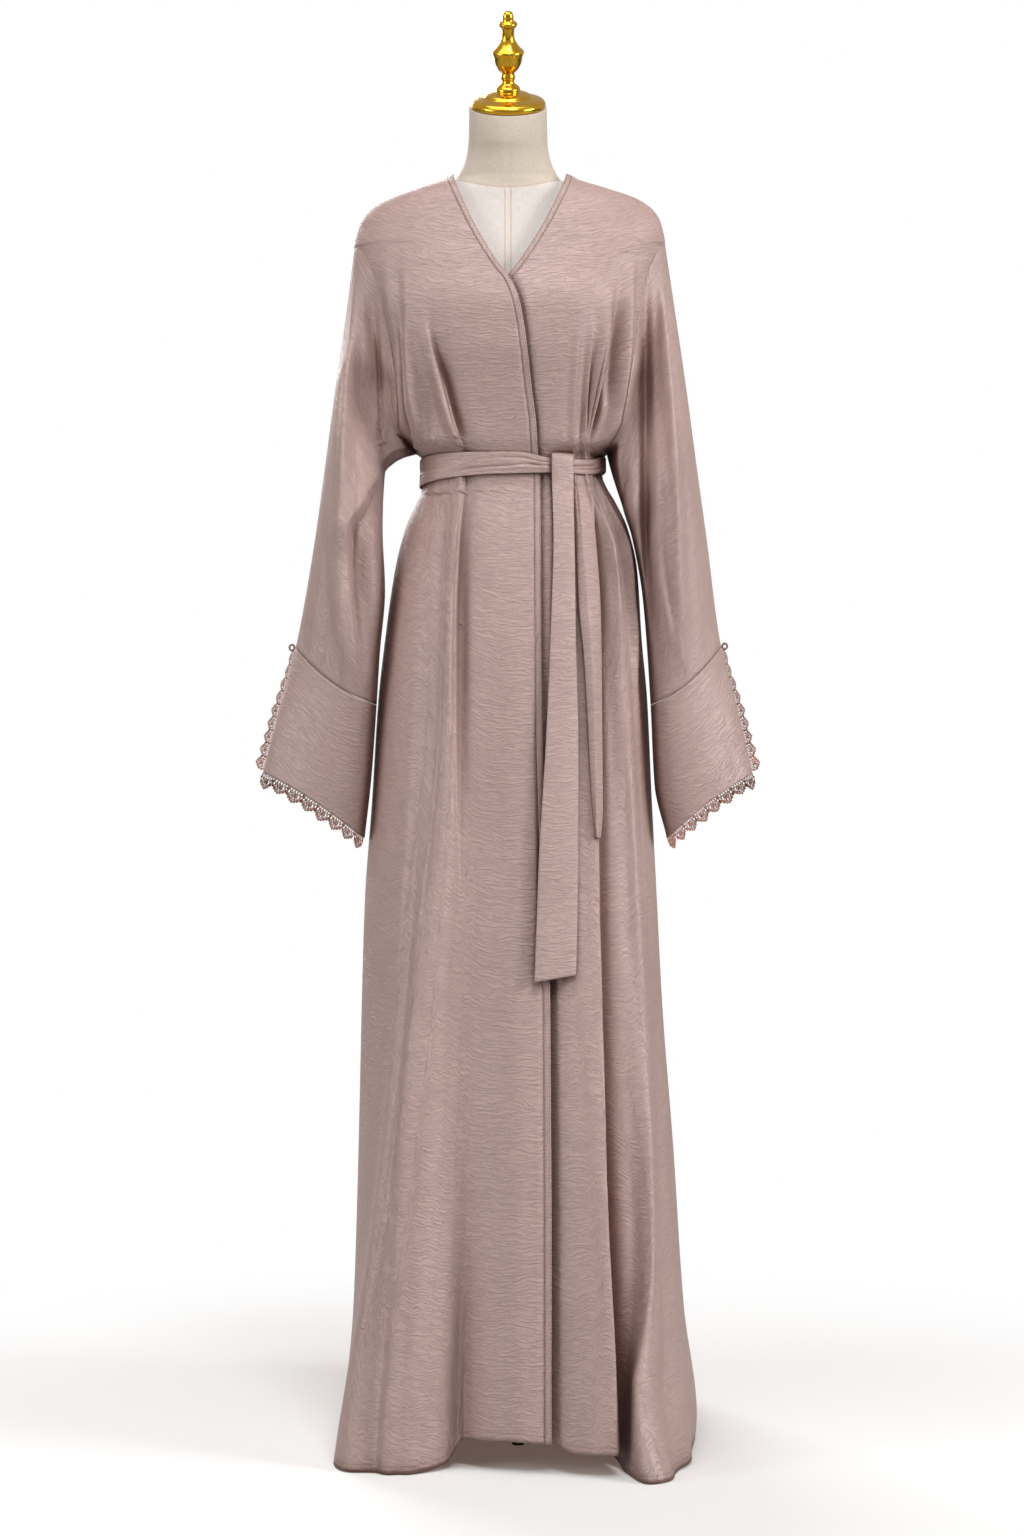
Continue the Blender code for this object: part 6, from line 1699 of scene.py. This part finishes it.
class ABAYA_OT_lace(bpy.types.Operator):
    """Sew lace to the cuffs' slits and hems"""

    bl_idname = "abaya.lace"
    bl_label = "Lace"

    def execute(self, context):
        settings = context.scene.abaya_lace
        material = finish_of("lace")
        points, faces = scallop(settings.strand)
        motif = mesh_object("scallop_pattern", points, faces, material)
        tree, seed = lace_tree(material, motif)
        for side, name in SIDES:
            rows = cuff(side)
            half = SLEEVE_COLUMNS // 2
            slit = rows[:, -1]
            way = np.tile(np.array((side * 0.985, -0.1, -0.1)), (len(slit), 1))
            reach = np.interp(np.linspace(0, 1, len(slit)), (0, 0.33, 0.67, 1), SLIT_LACE_DEPTHS)
            self.strip(f"lace_slit_trim_{name}", slit, way, reach, 0.03, 0.985, LACE_GAP, tree, seed,
                    settings, f"lace_slit_{name}")
            hem = rows[-1][half + 1:][::-1]
            before = rows[-6][half + 1:][::-1]
            way = (hem - before) / np.linalg.norm(hem - before, axis=1)[:, None]
            reach = np.full(len(hem), HEM_LACE_DEPTH)
            self.strip(f"lace_hem_trim_{name}", hem, way, reach, 0.03, 0.93, -0.0008, tree, seed, settings,
                    f"lace_hem_{name}", 1.25)
        bpy.data.objects.remove(motif)
        return {"FINISHED"}

    @staticmethod
    def strip(name, edge, way, reach, first, last, gap, tree, seed, settings, solid, wide=1.0):
        """Scallops side by side along an edge; each is as deep as the strip is there."""
        run = np.concatenate(([0], np.cumsum(np.linalg.norm(np.diff(edge, axis=0), axis=1))))
        length = (last - first) * run[-1]
        repeats = max(2, round(length / (wide * settings.repeat)))
        places = (first + (last - first) * (np.arange(repeats) + 0.5) / repeats) * run[-1]
        step = length / repeats

        def read(values, where):
            """Values at distances along the edge."""
            return np.column_stack([np.interp(where, run, values[:, k]) for k in range(values.shape[1])])

        base, out = read(edge, places), read(way, places)
        along = read(edge, places + step / 2) - read(edge, places - step / 2)
        along /= np.linalg.norm(along, axis=1)[:, None]
        out = out - along * (out * along).sum(1)[:, None]
        out /= np.linalg.norm(out, axis=1)[:, None]
        deep = read(reach[:, None], places)[:, 0]
        stretch = np.column_stack((np.full(repeats, step / SCALLOP), deep / SCALLOP, np.ones(repeats)))
        piece = repeated(name, base + out * gap, [], tree, {seed: settings.seed},
                {"along": along, "outward": out, "stretch": stretch})
        placed(piece, "lace", solid)


class ABAYA_OT_loops(bpy.types.Operator):
    """Twist a small thread loop at the top of each slit"""

    bl_idname = "abaya.loops"
    bl_label = "Slit loops"

    def execute(self, context):
        material = finish_of("cloth")
        for side, name in SIDES:
            top = cuff(side, CUFF_ROWS[:1])[0, 0]
            centre = top + np.array((side * 0.005, 0, 0.001))
            turn = np.linspace(0, 2 * math.pi, 48, endpoint=False)
            strands = []
            for phase in (0, math.pi):
                twist = LOOP_TWIST * np.array((np.cos(7 * turn + phase), np.sin(7 * turn + phase)))
                reach = LOOP_RADIUS + twist[0]
                path = np.column_stack((centre[0] + reach * np.cos(turn), centre[1] + twist[1],
                                        centre[2] + 1.15 * reach * np.sin(turn)))
                strands.append(tube(path, LOOP_STRAND, 6, True))
            points, faces = joined(strands)
            piece = mesh_object(f"thread_loop_{name}", points, faces, material, points[:, [0, 2]])
            placed(piece, "cloth", f"slit_loop_{name}")
        return {"FINISHED"}


class ABAYA_OT_belt(bpy.types.Operator):
    """Wrap and tie the belt and let its two ends hang"""

    bl_idname = "abaya.belt"
    bl_label = "Tie belt"

    def execute(self, context):
        settings = context.scene.abaya_belt
        shapes = {
            "belt_wrap": belt_wrap(), "belt_knot": belt_end(KNOT, 70, 16),
            "belt_tail_long": belt_end(TAIL_LONG, 220, 24, 0.0012, settings.ripple),
            "belt_tail_short": belt_end(TAIL_SHORT, 180, 24, 0.007, settings.ripple),
        }
        for name, grid in shapes.items():
            closed = name == "belt_wrap"
            if not closed:
                # the long edges turn back a little
                share = np.linspace(-1, 1, grid.shape[1])
                grid = grid - outwards(grid) * (0.0005 * np.abs(share) ** 6)[None, :, None]
            piece = sewn_piece(name, grid, closed=closed, thickness=settings.thickness)
        return {"FINISHED"}


class ABAYA_OT_form(bpy.types.Operator):
    """Cover the limbless dress form in linen, with its seams"""

    bl_idname = "abaya.form"
    bl_label = "Dress form"

    def execute(self, context):
        settings = context.scene.abaya_linen
        angles = np.linspace(-math.pi, math.pi, 97)
        tilt = np.array(Matrix.Rotation(HEAD_TILT, 3, "X"))
        radius = float(FORM["half"][0])
        top = np.array(CAP_CENTRE) + tilt @ np.array((0, 0, CAP_PROFILE[-1][1] / 1000 - SEAM))
        cut = top + (tilt @ np.stack((radius * np.sin(angles), -radius * np.cos(angles), 0 * angles))).T
        heights = rows_down((1.57, 34), (1.47, 40), (1.2, 34), (FORM_BOTTOM, 0))
        rings = []
        for z in heights:
            half, front, rear, lean, square = (
                float(at(FORM, name, z)) for name in ("half", "front", "back", "lean", "square")
            )
            x, y, nx, ny = superellipse(angles, half, half, front, rear, square)
            slant = float(smoothstep(1.51, 1.57, z)) * math.tan(HEAD_TILT)
            groove = settings.seam_depth * self.seams(x, y, z, half)
            ring = np.stack((x - nx * groove, y - lean - ny * groove, z + slant * y), -1)
            blend = float(smoothstep(1.545, 1.57, z))
            rings.append(ring * (1 - blend) + cut * blend)
        grid = np.array(rings)
        whole = np.concatenate((self.closing(grid[0])[::-1], grid, self.closing(grid[-1])))
        piece = mesh_object("linen_form", whole, grid_faces(*whole.shape[:2]), finish_of("linen"),
                cloth_map(whole))
        weld(piece)
        placed(piece, "linen", "dress_form")
        return {"FINISHED"}

    @staticmethod
    def closing(ring):
        """Rings that close an end over to its centre."""
        centre = ring.mean(0)
        return np.array([ring + (centre - ring) * share for share in (0.04, 0.3, 0.7, 1.0)])

    @staticmethod
    def seams(x, y, z, half):
        """Depth, from 0 to 1, of the cover's seams: front, back, sides, shoulders and round the neck."""
        def line(distance, width=0.0011):
            """A groove of a width round a distance of 0."""
            return np.exp(-((distance / width) ** 2))

        front = y < 0
        princess = 0.066 * np.clip(half / 0.15, 0.75, 1.1)
        below = float(smoothstep(1.475, 1.455, z))
        groove = line(x) + below * (line(x - princess) + line(x + princess))
        groove = groove + line(y, 0.0013) * np.where(np.abs(x) > half * 0.6, 1, 0)
        neck = 1.4845 + 0.02 * np.clip(np.abs(x) / 0.062, 0, 1.3) ** 2 + np.where(front, 0, 0.004)
        return np.clip(groove + line(z - neck, 0.0012), 0, 1)


class ABAYA_OT_cap(bpy.types.Operator):
    """Turn the neck cap with its finial"""

    bl_idname = "abaya.cap"
    bl_label = "Neck cap"

    def execute(self, context):
        steps = context.scene.abaya_gold.steps
        profile = rounded([(r / 1000, h / 1000) for r, h in CAP_PROFILE])
        points, faces = turned(profile, steps)
        tilt = np.array(Matrix.Rotation(HEAD_TILT, 3, "X"))
        points = points @ tilt.T + np.array(CAP_CENTRE)
        piece = mesh_object("turned_neck_cap", points, faces, finish_of("gold"))
        weld(piece, 0.00001)
        placed(piece, "gold", "neck_cap")
        return {"FINISHED"}


class ABAYA_OT_stand(bpy.types.Operator):
    """Set the pole, hub, legs and feet under the form"""

    bl_idname = "abaya.stand"
    bl_label = "Stand"

    def execute(self, context):
        material = finish_of("gold")
        steps = context.scene.abaya_gold.steps // 2
        hub_bottom, hub_top, hub_radius = 0.05, 0.105, 0.021
        soft = 0.0012
        self.turn("stand_turned_pole", POLE_RADIUS, hub_top + SEAM, FORM_BOTTOM - SEAM, soft, (0, 0), steps,
                material, "stand_pole")
        self.turn("stand_turned_hub", hub_radius, hub_bottom, hub_top, 0.003, (0, 0), steps, material,
                "stand_hub")
        for name, degrees in (("front", -83.5), ("left", 36.5), ("right", 156.5)):
            way = np.array((math.cos(math.radians(degrees)), math.sin(math.radians(degrees)), 0))
            foot = way * FOOT_REACH
            self.turn(f"stand_turned_foot_{name}", FOOT_RADIUS, 0, FOOT_HEIGHT, soft, foot[:2], steps,
                    material, f"stand_foot_{name}")
            start = hub_radius + SEAM + 0.0002
            t = np.linspace(0, 1, 33)
            reach = start + (FOOT_REACH - start) * (1 - (1 - t) ** 1.6)
            height = LEG_TOP - (LEG_TOP - FOOT_HEIGHT - SEAM - 0.0008) * t**2.2
            path = way[None, :] * reach[:, None] + np.array((0, 0, 1))[None, :] * height[:, None]
            points, faces = tube(path, LEG_RADIUS * (1 - 0.25 * smoothstep(0.9, 1.0, t)), 16)
            points[:, 2] = np.maximum(points[:, 2], FOOT_HEIGHT + 0.0002)
            piece = mesh_object(f"stand_curved_leg_{name}", points, faces, material)
            placed(piece, "gold", f"stand_leg_{name}")
        return {"FINISHED"}

    @staticmethod
    def turn(name, radius, bottom, top, soft, place, steps, material, solid):
        """A turned length with softened rims."""
        rim = np.linspace(0, math.pi / 2, 5)
        curve = [(0, top)]
        curve += [(radius - soft + soft * math.sin(a), top - soft + soft * math.cos(a)) for a in rim]
        curve += [(radius - soft + soft * math.cos(a), bottom + soft - soft * math.sin(a)) for a in rim]
        curve += [(0, bottom)]
        points, faces = turned(curve, steps)
        points[:, :2] += np.array(place)
        piece = mesh_object(name, points, faces, material)
        placed(piece, "gold", solid)


class ABAYA_PT_pieces(bpy.types.Panel):
    """The pieces of the abaya and its form, in the order they are made"""

    bl_idname = "ABAYA_PT_pieces"
    bl_label = "Abaya on a dress form"
    bl_space_type = "VIEW_3D"
    bl_region_type = "UI"
    bl_category = "Abaya"

    def draw(self, context):
        column = self.layout.column()
        for operator in OPERATORS:
            column.operator(operator.bl_idname)
        for name, group in SETTINGS.items():
            box = self.layout.box()
            box.label(text=group.__doc__)
            for key in group.__annotations__:
                box.prop(getattr(context.scene, name), key)


SETTINGS = {
    "abaya_cloth": ClothSettings, "abaya_belt": BeltSettings, "abaya_stitches": StitchSettings,
    "abaya_lace": LaceSettings, "abaya_linen": LinenSettings, "abaya_gold": GoldSettings,
    "abaya_stage": StageSettings,
}
OPERATORS = (
    ABAYA_OT_stage, ABAYA_OT_form, ABAYA_OT_cap, ABAYA_OT_stand, ABAYA_OT_stitching, ABAYA_OT_bands,
    ABAYA_OT_panels, ABAYA_OT_sleeves, ABAYA_OT_belt, ABAYA_OT_lace, ABAYA_OT_loops, ABAYA_OT_cuffs,
)


def register():
    """Register the settings, the operators and the panel."""
    for name, group in SETTINGS.items():
        bpy.utils.register_class(group)
        setattr(bpy.types.Scene, name, PointerProperty(type=group))
    for cls in (*OPERATORS, ABAYA_PT_pieces):
        bpy.utils.register_class(cls)


def unregister():
    """Take them away again."""
    for cls in (ABAYA_PT_pieces, *reversed(OPERATORS)):
        bpy.utils.unregister_class(cls)
    for name, group in SETTINGS.items():
        delattr(bpy.types.Scene, name)
        bpy.utils.unregister_class(group)


def main():
    """Make every piece in order."""
    register()
    for operator in OPERATORS:
        group, name = operator.bl_idname.split(".")
        getattr(getattr(bpy.ops, group), name)()


if __name__ == "__main__":
    main()
